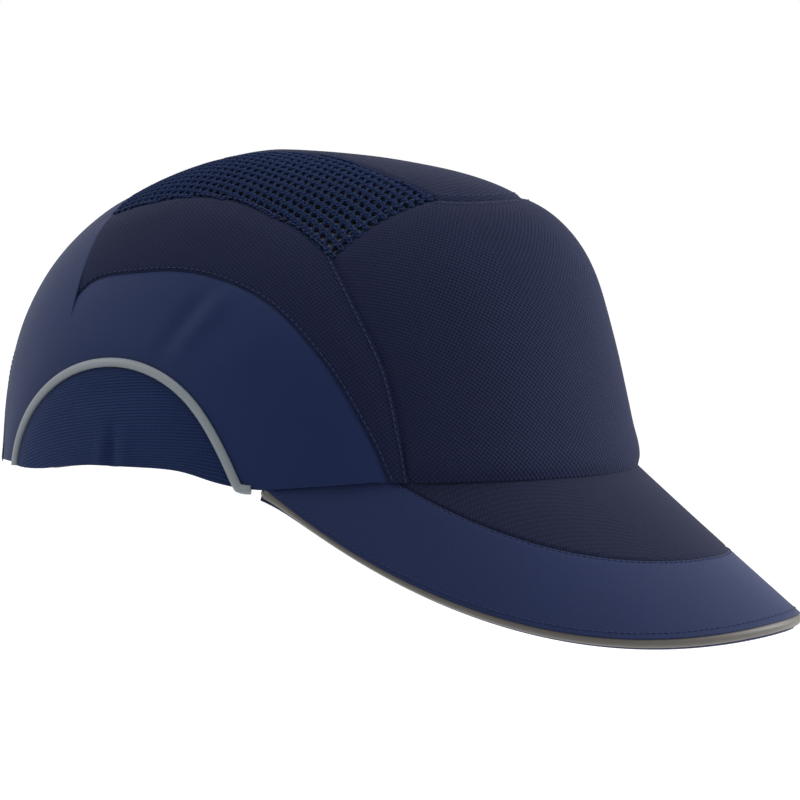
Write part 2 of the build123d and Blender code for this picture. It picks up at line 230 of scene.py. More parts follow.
def ear_arch(turns):
    """The seam over the ear, with hollow legs, from the rear rim at 0 to the front rim at pi."""
    turn_in = np.where(np.cos(turns) > 0, 1.25, 1.45 + np.cos(turns) ** 4)
    rise = np.clip(np.sin(turns), 0, 1) ** turn_in
    y = ear_centre_y + ear_half_length * np.cos(turns)
    return from_side(np.stack([y, ear_height * rise], axis=1))


ear_back_share = (back_seam_y - ear_centre_y) / ear_half_length
ear_back_turn = np.arccos(ear_back_share)
ear_back_z = ear_height * np.sin(ear_back_turn) ** 1.25
ear_front_y = ear_centre_y - ear_half_length
ear_rear_y = ear_centre_y + ear_half_length
ear_upper_line = ear_arch(np.linspace(ear_back_turn, pi, 140))  # from the back seam forwards
ear_lower_line = ear_arch(np.linspace(ear_back_turn, 0, 60))  # from the back seam down to the rear rim
back_seam_low_line = from_side([(back_seam_y, z) for z in np.linspace(ear_back_z, lower_seam[0][1], 60)])
back_seam_high_line = from_side(
    [(back_seam_y, z) for z in np.linspace(lower_seam[0][1], mesh_lower_edge[0][1], 60)]
)
strip_side_line = from_above(
    np.vstack([smooth(strip_side), np.linspace(strip_side[-1], (-strip_half_width, back_seam_y), 60)[1:]])
)
mesh_front_line = from_above(np.linspace(mesh_lower_line[-1][:2], strip_corner, 60))
mesh_back_line = from_above(np.linspace(mesh_lower_line[0][:2], (-strip_half_width, back_seam_y), 60))
strip_back_line = from_above(
    np.linspace((-strip_half_width, back_seam_y), (strip_half_width, back_seam_y), 20)
)


def arc_through(start, middle_y, count=90):
    """A circular arc from a point on the right, over the middle at Y, to its mirror image."""
    half = -start[0]
    rise = start[1] - middle_y
    radius = (half**2 + rise**2) / 2 / rise
    turn = np.arcsin(half / radius) * np.linspace(-1, 1, count)
    return np.stack([radius * np.sin(turn), middle_y + radius * (1 - np.cos(turn))], axis=1)


strip_front_line = from_above(arc_through(strip_corner, strip_front_y))


# ---- meshes --------------------------------------------------------------------------------------
def make_piece(name, vertices, faces, material, uv=None):
    mesh = bpy.data.meshes.new(name)
    mesh.from_pydata((np.asarray(vertices) * MM).tolist(), [], [list(map(int, f)) for f in faces])
    if uv is not None:
        corners = np.zeros(len(mesh.loops), int)
        mesh.loops.foreach_get("vertex_index", corners)
        layer = mesh.uv_layers.new(name="cloth")
        layer.data.foreach_set("uv", (np.asarray(uv)[corners] * MM).ravel())
    mesh.materials.append(material)
    mesh.shade_smooth()
    piece = bpy.data.objects.new(name, mesh)
    bpy.context.scene.collection.objects.link(piece)
    return piece


def grid_faces(rows, columns, wrapped=False):
    faces = []
    for r in range(rows - 1):
        for c in range(columns if wrapped else columns - 1):
            n = (c + 1) % columns
            faces.append((r * columns + c, r * columns + n, (r + 1) * columns + n, (r + 1) * columns + c))
    return faces


def turned_out(vertices, faces, centre=(0.0, 0.0, 20.0)):
    """The faces, all turned over if they point towards the centre."""
    v = np.asarray(vertices)
    f = np.array([face[:4] for face in faces])
    middle = v[f].mean(axis=1)
    normal = np.cross(v[f[:, 2]] - v[f[:, 0]], v[f[:, 3]] - v[f[:, 1]])
    if np.sum(normal * (middle - np.array(centre))) < 0:
        return [tuple(reversed(face)) for face in faces]
    return faces


def normals_out(piece):
    """Turns the faces of a closed piece outwards."""
    mesh = bmesh.new()
    mesh.from_mesh(piece.data)
    bmesh.ops.recalc_face_normals(mesh, faces=mesh.faces)
    mesh.to_mesh(piece.data)
    mesh.free()
    return piece


def cleaned(piece, distance=0.02):
    """Merges doubles and dissolves faces without area."""
    mesh = bmesh.new()
    mesh.from_mesh(piece.data)
    bmesh.ops.remove_doubles(mesh, verts=mesh.verts, dist=distance * MM)
    bmesh.ops.dissolve_degenerate(mesh, edges=mesh.edges, dist=distance * MM)
    mesh.to_mesh(piece.data)
    mesh.free()
    return piece


def thickened(piece, thickness, offset=-1.0):
    wall = piece.modifiers.new("thickness", "SOLIDIFY")
    wall.thickness = thickness * MM
    wall.offset = offset
    return piece


def gathered(count, crowding=0.6):
    """Shares from 0 to 1 that crowd towards both ends, where the seams are."""
    t = np.linspace(0, 1, count)
    return (1 - crowding) * t + crowding * (1 - np.cos(pi * t)) / 2


def patch(bottom, top, left, right, columns, rows):
    """A grid of points spanning four curves that meet at their ends."""
    u, v = gathered(columns), gathered(rows)
    b, t, l, r = along(bottom, u), along(top, u), along(left, v), along(right, v)
    u, v = u[None, :, None], v[:, None, None]
    corners = (1 - u) * (1 - v) * b[0] + u * (1 - v) * b[-1] + (1 - u) * v * t[0] + u * v * t[-1]
    return (1 - v) * b[None] + v * t[None] + (1 - u) * l[:, None] + u * r[:, None] - corners


def nearest(points, curves):
    """How far each point is from the nearest of these curves."""
    found = np.full(len(points), 1e9)
    for curve in curves:
        fine = along(curve, np.linspace(0, 1, max(8, int(length_of(curve) / 0.8))))
        for start in range(0, len(points), 4000):
            block = points[start:start + 4000]
            d = np.linalg.norm(block[:, None] - fine[None], axis=2).min(axis=1)
            found[start:start + 4000] = np.minimum(found[start:start + 4000], d)
    return found


def waves(points, size, seed):
    """Gentle unevenness, from about -1 to 1, over distances of this size."""
    shift = Vector((seed * 7.3, seed * 3.1, seed * 5.7))
    return np.array([noise.noise(Vector(p / size) + shift) for p in points])


def fold(points, start, end, width, height):
    """A soft ridge along a line between two points, or a hollow where the height is below 0."""
    start, end = np.array(start, float), np.array(end, float)
    line = end - start
    share = np.clip((points - start) @ line / (line @ line), 0, 1)
    off = np.linalg.norm(points - (start + share[:, None] * line), axis=1)
    fade = np.sin(pi * np.clip(0.08 + 0.84 * share, 0, 1))
    return height * fade * np.exp(-((off / width) ** 2))


def grid_lengths(grid):
    """Cloth coordinates in mm: the lengths along the middle row and the middle column."""
    rows, columns = grid.shape[:2]
    u = np.concatenate([[0], np.cumsum(np.linalg.norm(np.diff(grid[rows // 2], axis=0), axis=1))])
    v = np.concatenate([[0], np.cumsum(np.linalg.norm(np.diff(grid[:, columns // 2], axis=0), axis=1))])
    return np.stack(np.broadcast_arrays(u[None, :], v[:, None]), axis=2).reshape(-1, 2)


def side_lengths(points):
    """Cloth coordinates in mm of cloth that hangs at the side."""
    lean = 0.45 * (opening_half_width - np.abs(points[:, 0]))
    return np.stack([points[:, 1], points[:, 2] + lean], axis=1)


def cloth_panel(
    name, grid, seams, material, puff=0.5, dip=0.55, shape=None, from_the_side=False, uneven=0.25, hem=None
):
    """A sewn panel on the crown: it dips into its seams and stands a little proud between them."""
    rows, columns = grid.shape[:2]
    base = onto_crown(grid.reshape(-1, 3))
    gap = nearest(base, seams)
    height = puff * (1 - np.exp(-((gap / puff_run) ** 2))) - dip * np.exp(-((gap / dip_run) ** 2))
    height += uneven * waves(base, wave_size, 5) * (1 - np.exp(-((gap / wave_run) ** 2)))
    if shape:
        height += shape(base)
    vertices = base + crown_normals(base) * height[:, None]
    if hem:
        vertices[:, 2] += hung(base, hem)[:, 2] - base[:, 2]
    uv = side_lengths(base) if from_the_side else grid_lengths(base.reshape(rows, columns, 3))
    faces = turned_out(vertices, grid_faces(rows, columns))
    return thickened(cleaned(make_piece(name, vertices, faces, material, uv)), cover_thickness)


def swept(name, path, ups, outline, material, wrapped=False):
    """A bar with this outline, as (across, up), along a path."""
    path, ups, outline = np.asarray(path), np.asarray(ups), np.asarray(outline, float)
    tangents = unit(np.gradient(path, axis=0))
    across = unit(np.cross(tangents, ups))
    ups = np.cross(across, tangents)
    rings = path[:, None] + across[:, None] * outline[None, :, :1] + ups[:, None] * outline[None, :, 1:]
    rows, columns = rings.shape[:2]
    faces = grid_faces(rows, columns, wrapped=True)
    faces += [tuple(range(columns)), tuple((rows - 1) * columns + c for c in reversed(range(columns)))]
    at = np.concatenate([[0], np.cumsum(np.linalg.norm(np.diff(path, axis=0), axis=1))])
    round_at = np.concatenate([[0], np.cumsum(np.linalg.norm(np.diff(outline, axis=0), axis=1))])
    uv = np.stack(np.broadcast_arrays(at[:, None], round_at[None, :]), axis=2).reshape(-1, 2)
    piece = make_piece(name, rings.reshape(-1, 3), faces, material, uv)
    return normals_out(piece)


# ---- materials -----------------------------------------------------------------------------------
def linear(*channels):
    """A display colour, 0 to 255 a channel, as the linear colour that a shader takes."""
    shares = np.array(channels) / 255
    curved = np.where(shares <= 0.04045, shares / 12.92, ((shares + 0.055) / 1.055) ** 2.4)
    return (*(float(c) for c in curved), 1.0)


def put(tree, kind, *inputs, **settings):
    """A node with its settings, and its inputs set or linked in order; None leaves one alone."""
    node = tree.nodes.new(kind)
    for name, value in settings.items():
        setattr(node, name, value)
    for socket, value in zip(node.inputs, inputs):
        if isinstance(value, bpy.types.NodeSocket):
            tree.links.new(value, socket)
        elif value is not None:
            socket.default_value = value
    return node


def calc(tree, operation, first, second=None, third=None):
    return put(tree, "ShaderNodeMath", first, second, third, operation=operation).outputs[0]


def node_group(name, inputs, outputs):
    tree = bpy.data.node_groups.new(name, "ShaderNodeTree")
    for label, kind in inputs:
        tree.interface.new_socket(label, in_out="INPUT", socket_type="NodeSocket" + kind)
    for label, kind in outputs:
        tree.interface.new_socket(label, in_out="OUTPUT", socket_type="NodeSocket" + kind)
    return tree, tree.nodes.new("NodeGroupInput"), tree.nodes.new("NodeGroupOutput")


def thread_counts(tree, source):
    """The two cloth coordinates counted in threads, with a little wander."""
    wander = put(tree, "ShaderNodeTexNoise", source.outputs["Cloth"], None, 260.0, 2.0)
    pushed = put(tree, "ShaderNodeVectorMath", wander.outputs["Color"], (0.5, 0.5, 0.5), operation="SUBTRACT")
    scaled = put(tree, "ShaderNodeVectorMath", pushed.outputs[0], (0.0006, 0.0006, 0.0), operation="MULTIPLY")
    moved = put(tree, "ShaderNodeVectorMath", source.outputs["Cloth"], scaled.outputs[0], operation="ADD")
    parts = put(tree, "ShaderNodeSeparateXYZ", moved.outputs[0])
    per_metre = calc(tree, "MULTIPLY", source.outputs["Threads per mm"], 1000.0)
    return [calc(tree, "MULTIPLY", parts.outputs[k], per_metre) for k in (0, 1)]


def wave(tree, value, turns=pi):
    return calc(tree, "SINE", calc(tree, "MULTIPLY", value, turns))


def plain_weave():
    """Threads over and under one another: bumps in a chequer."""
    tree, source, result = node_group(
        "plain weave", [("Cloth", "Vector"), ("Threads per mm", "Float")], [("Height", "Float")]
    )
    u, v = thread_counts(tree, source)
    bumps = calc(tree, "MULTIPLY", wave(tree, u), wave(tree, v))
    rounded = calc(tree, "MULTIPLY_ADD", bumps, 0.5, 0.5)
    tree.links.new(rounded, result.inputs["Height"])
    return tree


def twill_weave():
    """Fine slanting ridges."""
    tree, source, result = node_group(
        "twill weave", [("Cloth", "Vector"), ("Threads per mm", "Float")], [("Height", "Float")]
    )
    u, v = thread_counts(tree, source)
    slant = wave(tree, calc(tree, "ADD", u, v), 2 * pi)
    cross = wave(tree, calc(tree, "SUBTRACT", u, v), pi)
    mixed = calc(tree, "MULTIPLY_ADD", calc(tree, "MULTIPLY", slant, cross), 0.5, 0.5)
    tree.links.new(mixed, result.inputs["Height"])
    return tree


def rib_knit():
    """Level ribs, each a row of small stitches."""
    tree, source, result = node_group(
        "rib knit", [("Cloth", "Vector"), ("Threads per mm", "Float")], [("Height", "Float")]
    )
    u, v = thread_counts(tree, source)
    rib = calc(tree, "ABSOLUTE", wave(tree, v))
    loops = calc(tree, "MULTIPLY_ADD", wave(tree, calc(tree, "MULTIPLY", u, 1.3), 2 * pi), 0.16, 0.0)
    tree.links.new(calc(tree, "ADD", rib, loops), result.inputs["Height"])
    return tree


def cloth_tone():
    """Fibre speckle and slow changes of shade, as a multiplier about 1."""
    tree, source, result = node_group(
        "cloth tone", [("Place", "Vector"), ("Speckle", "Float")], [("Tone", "Float")]
    )
    slow = put(tree, "ShaderNodeTexNoise", source.outputs["Place"], None, 28.0, 3.0)
    fine = put(tree, "ShaderNodeTexNoise", source.outputs["Place"], None, 2600.0, 1.0)
    slow_part = calc(tree, "MULTIPLY_ADD", slow.outputs[0], 0.22, 0.89)
    centred = calc(tree, "SUBTRACT", fine.outputs[0], 0.5)
    fine_part = calc(tree, "MULTIPLY", centred, source.outputs["Speckle"])
    tree.links.new(calc(tree, "ADD", slow_part, fine_part), result.inputs["Tone"])
    return tree


PLAIN_WEAVE, TWILL_WEAVE, RIB_KNIT, CLOTH_TONE = plain_weave(), twill_weave(), rib_knit(), cloth_tone()


def new_material(name):
    material = bpy.data.materials.new(name)
    material.use_nodes = True
    material.node_tree.nodes.clear()
    tree = material.node_tree
    surface = put(tree, "ShaderNodeBsdfPrincipled")
    result = put(tree, "ShaderNodeOutputMaterial", surface.outputs[0])
    return material, tree, surface, result


def cloth(
    name, colour, weave, threads, depth,
    roughness=0.85, sheen=0.02, low_shade=0.6, speckle=0.5, own_cloth=True,
):
    """A woven or knitted finish: the weave bumps the surface and paints shade into the colour in its low
    places, between the threads, and the tone varies it.
    """
    material, tree, surface, _ = new_material(name)
    place = put(tree, "ShaderNodeTexCoord")
    if own_cloth:
        source = put(tree, "ShaderNodeUVMap", uv_map="cloth").outputs[0]
    else:
        source = place.outputs["Object"]
    pattern = tree.nodes.new("ShaderNodeGroup")
    pattern.node_tree = weave
    tree.links.new(source, pattern.inputs["Cloth"])
    pattern.inputs["Threads per mm"].default_value = threads
    tone = tree.nodes.new("ShaderNodeGroup")
    tone.node_tree = CLOTH_TONE
    tree.links.new(place.outputs["Object"], tone.inputs["Place"])
    tone.inputs["Speckle"].default_value = speckle
    # painted shade: the colour darkens down to low_shade where the weave is low, between the threads, where
    # shade would fall
    shade = calc(tree, "MULTIPLY_ADD", pattern.outputs["Height"], 1 - low_shade, low_shade)
    level = calc(tree, "MULTIPLY", shade, tone.outputs["Tone"])
    tinted = put(tree, "ShaderNodeVectorMath", colour[:3], operation="SCALE")
    tree.links.new(level, tinted.inputs["Scale"])
    tree.links.new(tinted.outputs[0], surface.inputs["Base Color"])
    bump = put(tree, "ShaderNodeBump", 0.8)
    bump.inputs["Distance"].default_value = depth * MM
    tree.links.new(pattern.outputs["Height"], bump.inputs["Height"])
    tree.links.new(bump.outputs[0], surface.inputs["Normal"])
    surface.inputs["Roughness"].default_value = roughness
    surface.inputs["Sheen Weight"].default_value = sheen
    surface.inputs["Sheen Roughness"].default_value = 0.45
    surface.inputs["Specular IOR Level"].default_value = 0.15
    return material


def grained(name, colour, roughness, grain_size, grain_depth, tone_range=0.2, coat=0.0):
    """A moulded, foamed or coated finish with fine grain and uneven roughness."""
    material, tree, surface, _ = new_material(name)
    place = put(tree, "ShaderNodeTexCoord")
    grain = put(tree, "ShaderNodeTexNoise", place.outputs["Object"], None, 1 / (grain_size * MM), 3.0)
    slow = put(tree, "ShaderNodeTexNoise", place.outputs["Object"], None, 45.0, 2.0)
    level = calc(tree, "MULTIPLY_ADD", slow.outputs[0], tone_range, 1 - tone_range / 2)
    tinted = put(tree, "ShaderNodeVectorMath", colour[:3], operation="SCALE")
    tree.links.new(level, tinted.inputs["Scale"])
    tree.links.new(tinted.outputs[0], surface.inputs["Base Color"])
    rough = calc(tree, "MULTIPLY_ADD", grain.outputs[0], 0.2, roughness - 0.1)
    tree.links.new(rough, surface.inputs["Roughness"])
    bump = put(tree, "ShaderNodeBump", 0.7)
    bump.inputs["Distance"].default_value = grain_depth * MM
    tree.links.new(grain.outputs[0], bump.inputs["Height"])
    tree.links.new(bump.outputs[0], surface.inputs["Normal"])
    surface.inputs["Coat Weight"].default_value = coat
    return material


canvas = cloth("navy canvas", linear(27, 36, 70), PLAIN_WEAVE, 1.25, 0.24, low_shade=0.32)
twill = cloth(
    "navy twill", linear(20, 38, 80), TWILL_WEAVE, 2.2, 0.05, roughness=0.6, sheen=0.04, low_shade=0.8
)
peak_twill = cloth(
    "navy peak twill", linear(31, 43, 82), TWILL_WEAVE, 2.2, 0.05, roughness=0.6, sheen=0.04, low_shade=0.8
)
knit = cloth("navy rib knit", linear(28, 47, 90), RIB_KNIT, 0.95, 0.35, sheen=0.03, low_shade=0.4)
yarn = cloth("navy mesh yarn", linear(26, 44, 84), PLAIN_WEAVE, 3.0, 0.08, low_shade=0.7, own_cloth=False)
webbing = cloth("navy webbing", linear(20, 30, 60), PLAIN_WEAVE, 0.9, 0.25, low_shade=0.55)
binding = cloth("navy binding tape", linear(20, 30, 58), PLAIN_WEAVE, 1.8, 0.08, low_shade=0.7)
canvas_fine = cloth("navy peak canvas", linear(29, 35, 62), PLAIN_WEAVE, 1.5, 0.14, low_shade=0.5)
thread = cloth(
    "navy thread", linear(38, 50, 86), TWILL_WEAVE, 3.0, 0.05, roughness=0.6, low_shade=0.8, own_cloth=False
)
terry = cloth(
    "sweatband cloth", linear(40, 44, 56), RIB_KNIT, 1.1, 0.35, roughness=0.95, sheen=0.5, low_shade=0.6
)
tape = grained("reflective piping", linear(132, 140, 146), 0.5, 0.35, 0.03, tone_range=0.12)
tape_flat = grained("reflective peak piping", linear(84, 80, 75), 0.5, 0.35, 0.03, tone_range=0.12)
foam = grained("pad foam", linear(44, 46, 52), 0.9, 0.5, 0.12)
liner = grained("liner plastic", linear(16, 18, 24), 0.42, 0.8, 0.02)
ring_plastic = grained("ring plastic", linear(26, 30, 44), 0.35, 0.6, 0.015)
hooks = grained("hook tape", linear(30, 36, 58), 0.8, 0.45, 0.5)
board_plastic = grained("peak board", linear(40, 42, 48), 0.6, 1.2, 0.02)

# ---- camera and light ----------------------------------------------------------------------------
view_azimuth, view_elevation = radians(-67), radians(3)
view_distance = 1.6
framing_right, framing_down = 0.0389, 0.0319
view_width = 0.2623
sensor = 36.0

backwards = Vector((
    np.sin(view_azimuth) * np.cos(view_elevation),
    -np.cos(view_azimuth) * np.cos(view_elevation),
    np.sin(view_elevation),
))
rightwards = Vector((np.cos(view_azimuth), np.sin(view_azimuth), 0))
upwards = backwards.cross(rightwards)
middle = Vector((0, 0, crown_height * MM / 2))


def add_camera():
    data = bpy.data.cameras.new("camera")
    data.sensor_width = sensor
    data.lens = sensor * view_distance / view_width
    data.clip_start, data.clip_end = 0.05, 50
    camera = bpy.data.objects.new("camera", data)
    bpy.context.scene.collection.objects.link(camera)
    camera.location = middle + backwards * view_distance
    aim = middle + rightwards * framing_right - upwards * framing_down
    camera.rotation_mode = "QUATERNION"
    camera.rotation_quaternion = (aim - camera.location).to_track_quat("-Z", "Y")
    bpy.context.scene.camera = camera


def add_lamp(name, offset, size, strength):
    """A soft square lamp aimed at the cap, placed as (right, up, towards the camera)."""
    data = bpy.data.lights.new(name, "AREA")
    data.shape, data.size, data.energy = "SQUARE", size, strength
    lamp = bpy.data.objects.new(name, data)
    bpy.context.scene.collection.objects.link(lamp)
    lamp.location = middle + rightwards * offset[0] + upwards * offset[1] + backwards * offset[2]
    lamp.rotation_mode = "QUATERNION"
    lamp.rotation_quaternion = (middle - lamp.location).to_track_quat("-Z", "Y")


def add_world():
    world = bpy.data.worlds.new("studio")
    bpy.context.scene.world = world
    world.use_nodes = True
    tree = world.node_tree
    tree.nodes.clear()
    path = put(tree, "ShaderNodeLightPath")
    seen = calc(tree, "MAXIMUM", path.outputs["Is Camera Ray"], path.outputs["Is Transmission Ray"])
    seen = calc(tree, "MAXIMUM", seen, path.outputs["Is Glossy Ray"])
    ambient = put(tree, "ShaderNodeBackground", (1, 1, 1, 1), 0.38)
    white = put(tree, "ShaderNodeBackground", (1, 1, 1, 1), 1.0)
    mixed = put(tree, "ShaderNodeMixShader", seen, ambient.outputs[0], white.outputs[0])
    put(tree, "ShaderNodeOutputWorld", mixed.outputs[0])


def add_floor():
    half, height = 12.0, cad_low.z - 0.25
    mesh = bpy.data.meshes.new("floor")
    mesh.from_pydata(
        [(-half, -half, height), (half, -half, height), (half, half, height), (-half, half, height)],
        [], [(0, 1, 2, 3)],
    )
    floor = bpy.data.objects.new("floor", mesh)
    bpy.context.scene.collection.objects.link(floor)
    material, tree, surface, result = new_material("pale floor")
    surface.inputs["Base Color"].default_value = (0.8, 0.8, 0.8, 1)
    surface.inputs["Roughness"].default_value = 0.9
    path = put(tree, "ShaderNodeLightPath")
    glow = put(tree, "ShaderNodeEmission", (1, 1, 1, 1))
    seen = calc(tree, "MAXIMUM", path.outputs["Is Camera Ray"], path.outputs["Is Transmission Ray"])
    seen = calc(tree, "MAXIMUM", seen, path.outputs["Is Glossy Ray"])
    tree.links.new(calc(tree, "MULTIPLY", seen, 0.7), glow.inputs["Strength"])
    both = put(tree, "ShaderNodeAddShader", surface.outputs[0], glow.outputs[0])
    tree.links.new(both.outputs[0], result.inputs["Surface"])
    mesh.materials.append(material)


add_camera()
add_world()
add_floor()
add_lamp("left softbox", (-1.4, 0.9, 0.1), 1.0, 9)
add_lamp("right softbox", (1.6, 0.6, -0.1), 1.0, 29)
add_lamp("top softbox", (0.1, 1.8, 0.2), 1.2, 8)
bpy.context.scene.view_settings.view_transform = "Standard"

# ---- cover panels --------------------------------------------------------------------------------
front_foot = front_seam_line[-1]
mesh_front_full = np.vstack([mesh_front_line, strip_front_line[1:-1], mirrored(mesh_front_line)[::-1]])
front_grid = patch(
    front_rim(front_foot[1]), mesh_front_full, front_seam_line[::-1], mirrored(front_seam_line)[::-1], 150, 74
)


def rim_hem(points):
    """The cloth reaches down past the rim into the top of the peak."""
    return np.full(len(points), 1.3)


def side_hem(points):
    """The stretch cloth over the ear is drawn up a little, and hangs lower towards the peak."""
    y = points[..., 1]
    drawn_up = 3.3 * np.exp(-(((y - 16.0) / 32.0) ** 4))
    sag = 2.8 / (1 + np.exp((y + 8.0) / 4.0)) * np.clip((y + 62.0) / 34.0, 0, 1)
    return 1.0 - drawn_up + sag


def hung(points, hem):
    """Points near the rim moved down with the hem."""
    low = points.copy()
    low[..., 2] -= hem(points) * np.exp(-np.clip(points[..., 2], 0, 60) / hem_run)
    return low


def front_shape_heights(points):
    """The cloth stands out over the peak, and tucks in under itself at the rim."""
    above = np.clip(points[:, 2], 0, 60)
    return 0.5 * np.exp(-(((above - 5.5) / 4.5) ** 2)) - 0.9 * np.exp(-((above / 1.6) ** 2))


front_panel = cloth_panel(
    "front_panel_cloth", front_grid, [mesh_front_full, front_seam_line, mirrored(front_seam_line)], canvas,
    shape=front_shape_heights, hem=rim_hem,
)
strip_grid = patch(
    strip_front_line, strip_back_line, strip_side_line, mirrored(strip_side_line), 30, 90
)
crown_strip = cloth_panel(
    "crown_strip_cloth", strip_grid,
    [strip_front_line, strip_side_line, mirrored(strip_side_line), strip_back_line],
    canvas, puff=0.4,
)


def side_folds(points):
    return fold(points, (-72, 36, 52), (-77, 20, 52), 5.0, 0.3)


def lower_folds(points):
    heights = fold(points, (-78.7, 8.1, 36.0), (-70.4, -6.6, 58.5), 3.2, -0.8)
    heights += fold(points, (-77.9, 1.4, 38.0), (-69.4, -14.1, 58.5), 3.6, 0.8)
    heights += fold(points, (-79.5, -14.0, 33.0), (-74.0, -30.0, 46.0), 6.0, 0.4)
    return heights


def ear_folds(points):
    heights = fold(points, (-77.1, 34.0, 26.0), (-81.3, 8.0, 25.5), 3.4, -1.1)
    heights += fold(points, (-81.5, 22.6, 16.0), (-82.2, 22.8, -2.0), 1.8, -1.2)
    heights += fold(points, (-81.5, 26.0, 13.0), (-82.2, 27.0, -2.0), 2.4, 0.9)
    heights += fold(points, (-81.5, 18.0, 14.0), (-82.2, 17.0, -2.0), 2.4, 0.8)
    heights += fold(points, (-83.0, -2.0, 16.0), (-80.0, 40.0, 18.0), 5.0, 0.5)
    return heights - 0.2


def on_side(name, grid, seams, material, side, shape=None, **sizes):
    """A side panel, drawn for the wearer's right and mirrored for the left."""
    mirror_points = mirrored if side == LEFT else np.asarray
    turned = (lambda points: shape(mirror_points(points))) if shape else None
    label = name + ("_left_cloth" if side == LEFT else "_right_cloth")
    return cloth_panel(
        label, mirror_points(grid), [mirror_points(s) for s in seams], material,
        shape=turned, from_the_side=True, **sizes,
    )


side_outer_line = np.vstack([mesh_lower_line, front_seam_line[1:]])
rim_side_bit = rim(lower_seam_line[-1][1], front_foot[1])
side_grid = patch(lower_seam_line, side_outer_line, back_seam_high_line, rim_side_bit, 130, 30)
lower_grid = patch(
    ear_upper_line, lower_seam_line, back_seam_low_line, rim(ear_front_y, lower_seam_line[-1][1]), 130, 46
)
ear_grid = patch(
    rim(ear_rear_y, ear_front_y), ear_arch(ear_arch_turns),
    rim(ear_rear_y, ear_rear_y), rim(ear_front_y, ear_front_y), 96, 40,
)
side_panels, lower_panels, ear_panels = [], [], []
for side in (RIGHT, LEFT):
    side_panels.append(
        on_side(
            "side_panel", side_grid, [side_outer_line, lower_seam_line], canvas, side, side_folds,
            hem=rim_hem, puff=0.6,
        )
    )
    lower_panels.append(
        on_side(
            "lower_panel", lower_grid, [ear_upper_line, lower_seam_line], twill, side, lower_folds,
            puff=0.7, hem=side_hem,
        )
    )
    ear_panels.append(
        on_side(
            "ear_panel", ear_grid, [ear_arch(ear_arch_turns)], knit, side, ear_folds,
            puff=1.2, dip=0.7, hem=side_hem,
        )
    )

arch_turns = np.linspace(pi, 0, 120)


def from_behind(points):
    x, z = np.asarray(points, float).T
    _, back, side = crown_axes(z / crown_height)
    return np.stack([x, back * np.sqrt(np.clip(1 - (x / side) ** 2, 0, 1)), z], axis=1)


arch_line = from_behind(
    np.stack([arch_half_width * np.cos(arch_turns), arch_height * np.sin(arch_turns)], axis=1)
)
arch_foot = arch_line[0]
rear_rim = rim(ear_rear_y, arch_foot[1])
back_lower = np.vstack([
    ear_lower_line, rear_rim[1:], arch_line[1:-1], mirrored(rear_rim)[::-1][:-1],
    mirrored(ear_lower_line)[::-1],
])
back_half = np.vstack([back_seam_low_line, back_seam_high_line[1:], mesh_back_line[1:]])
back_upper = np.vstack([back_half, strip_back_line[1:-1], mirrored(back_half)[::-1]])
still = np.repeat(back_upper[:1], 2, axis=0)
back_grid = patch(back_lower, back_upper, still, mirrored(still), 210, 44)
back_panel = cloth_panel(
    "back_panel_cloth", back_grid,
    [mesh_back_line, mirrored(mesh_back_line), ear_lower_line, mirrored(ear_lower_line)], twill, puff=0.6,
)

for panel, node in ((front_panel, "front_panel"), (crown_strip, "crown_strip"), (back_panel, "back_panel")):
    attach(panel, "cap")
    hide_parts(node)
for panels, node, slot in (
    (side_panels, "side_panel", "canvas"), (lower_panels, "lower_panel", "twill"),
    (ear_panels, "ear_panel", "knit"),
):
    for panel, end in zip(panels, ("_right", "_left")):
        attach(panel, "cap")
        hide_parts(node + end)

# ---- crown mesh ----------------------------------------------------------------------------------
wale_pitch, course_pitch = 3.4, 3.2
wale_turn = radians(24)
hole_half_width, hole_half_length = 0.27, 0.31  # of a cell
mesh_sink = 0.3
mesh_outline = np.vstack(
    [mesh_front_line, strip_side_line[1:], mesh_back_line[::-1][1:], mesh_lower_line[1:]]
)
mesh_border = mesh_outline[:, :2]
wale_way = np.array([np.sin(wale_turn), np.cos(wale_turn)])
course_way = np.array([-np.cos(wale_turn), np.sin(wale_turn)])


def inside(points, border):
    """Whether each (X, Y) point is inside the closed border."""
    x, y = points[:, :1], points[:, 1:]
    ax, ay = border.T
    bx, by = np.roll(border, -1, axis=0).T
    crosses = (ay > y) != (by > y)
    at = ax + (y - ay) / np.where(by == ay, 1e-9, by - ay) * (bx - ax)
    return (np.sum(crosses & (x < at), axis=1) % 2) == 1


def held_in(points, border):
    """Points outside the border moved to the nearest place on it."""
    out = ~inside(points, border)
    held = points.copy()
    if out.any():
        d = np.linalg.norm(points[out][:, None] - border[None], axis=2)
        held[out] = border[d.argmin(axis=1)]
    return held


def even_steps(way, start, span, pitch):
    """Plan distances along a straight way whose places on the crown are a pitch apart."""
    fine = np.linspace(-span, span, 500)
    places = from_above(start + fine[:, None] * way)
    steps = np.concatenate([[0], np.cumsum(np.linalg.norm(np.diff(places, axis=0), axis=1))])
    count = int(steps[-1] / pitch)
    return np.interp(np.arange(count) * pitch, steps, fine)


def cell_outline(sides, half_width, half_length, power):
    turn = np.arange(sides) / sides * 2 * pi + pi / sides
    c, s = np.cos(turn), np.sin(turn)
    return np.stack(
        [half_width * np.sign(c) * np.abs(c) ** power, half_length * np.sign(s) * np.abs(s) ** power], axis=1
    )


mesh_middle = np.array([-29.0, -12.0])
across_steps = even_steps(course_way, mesh_middle, 42.0, wale_pitch)
along_steps = even_steps(wale_way, mesh_middle, 78.0, course_pitch)
cell_rings = [
    (cell_outline(16, 0.5, 0.5, 0.28), 0.0),
    (cell_outline(16, 0.41, 0.42, 0.5), 0.28),
    (cell_outline(16, hole_half_width, hole_half_length, 0.7), -0.25),
]


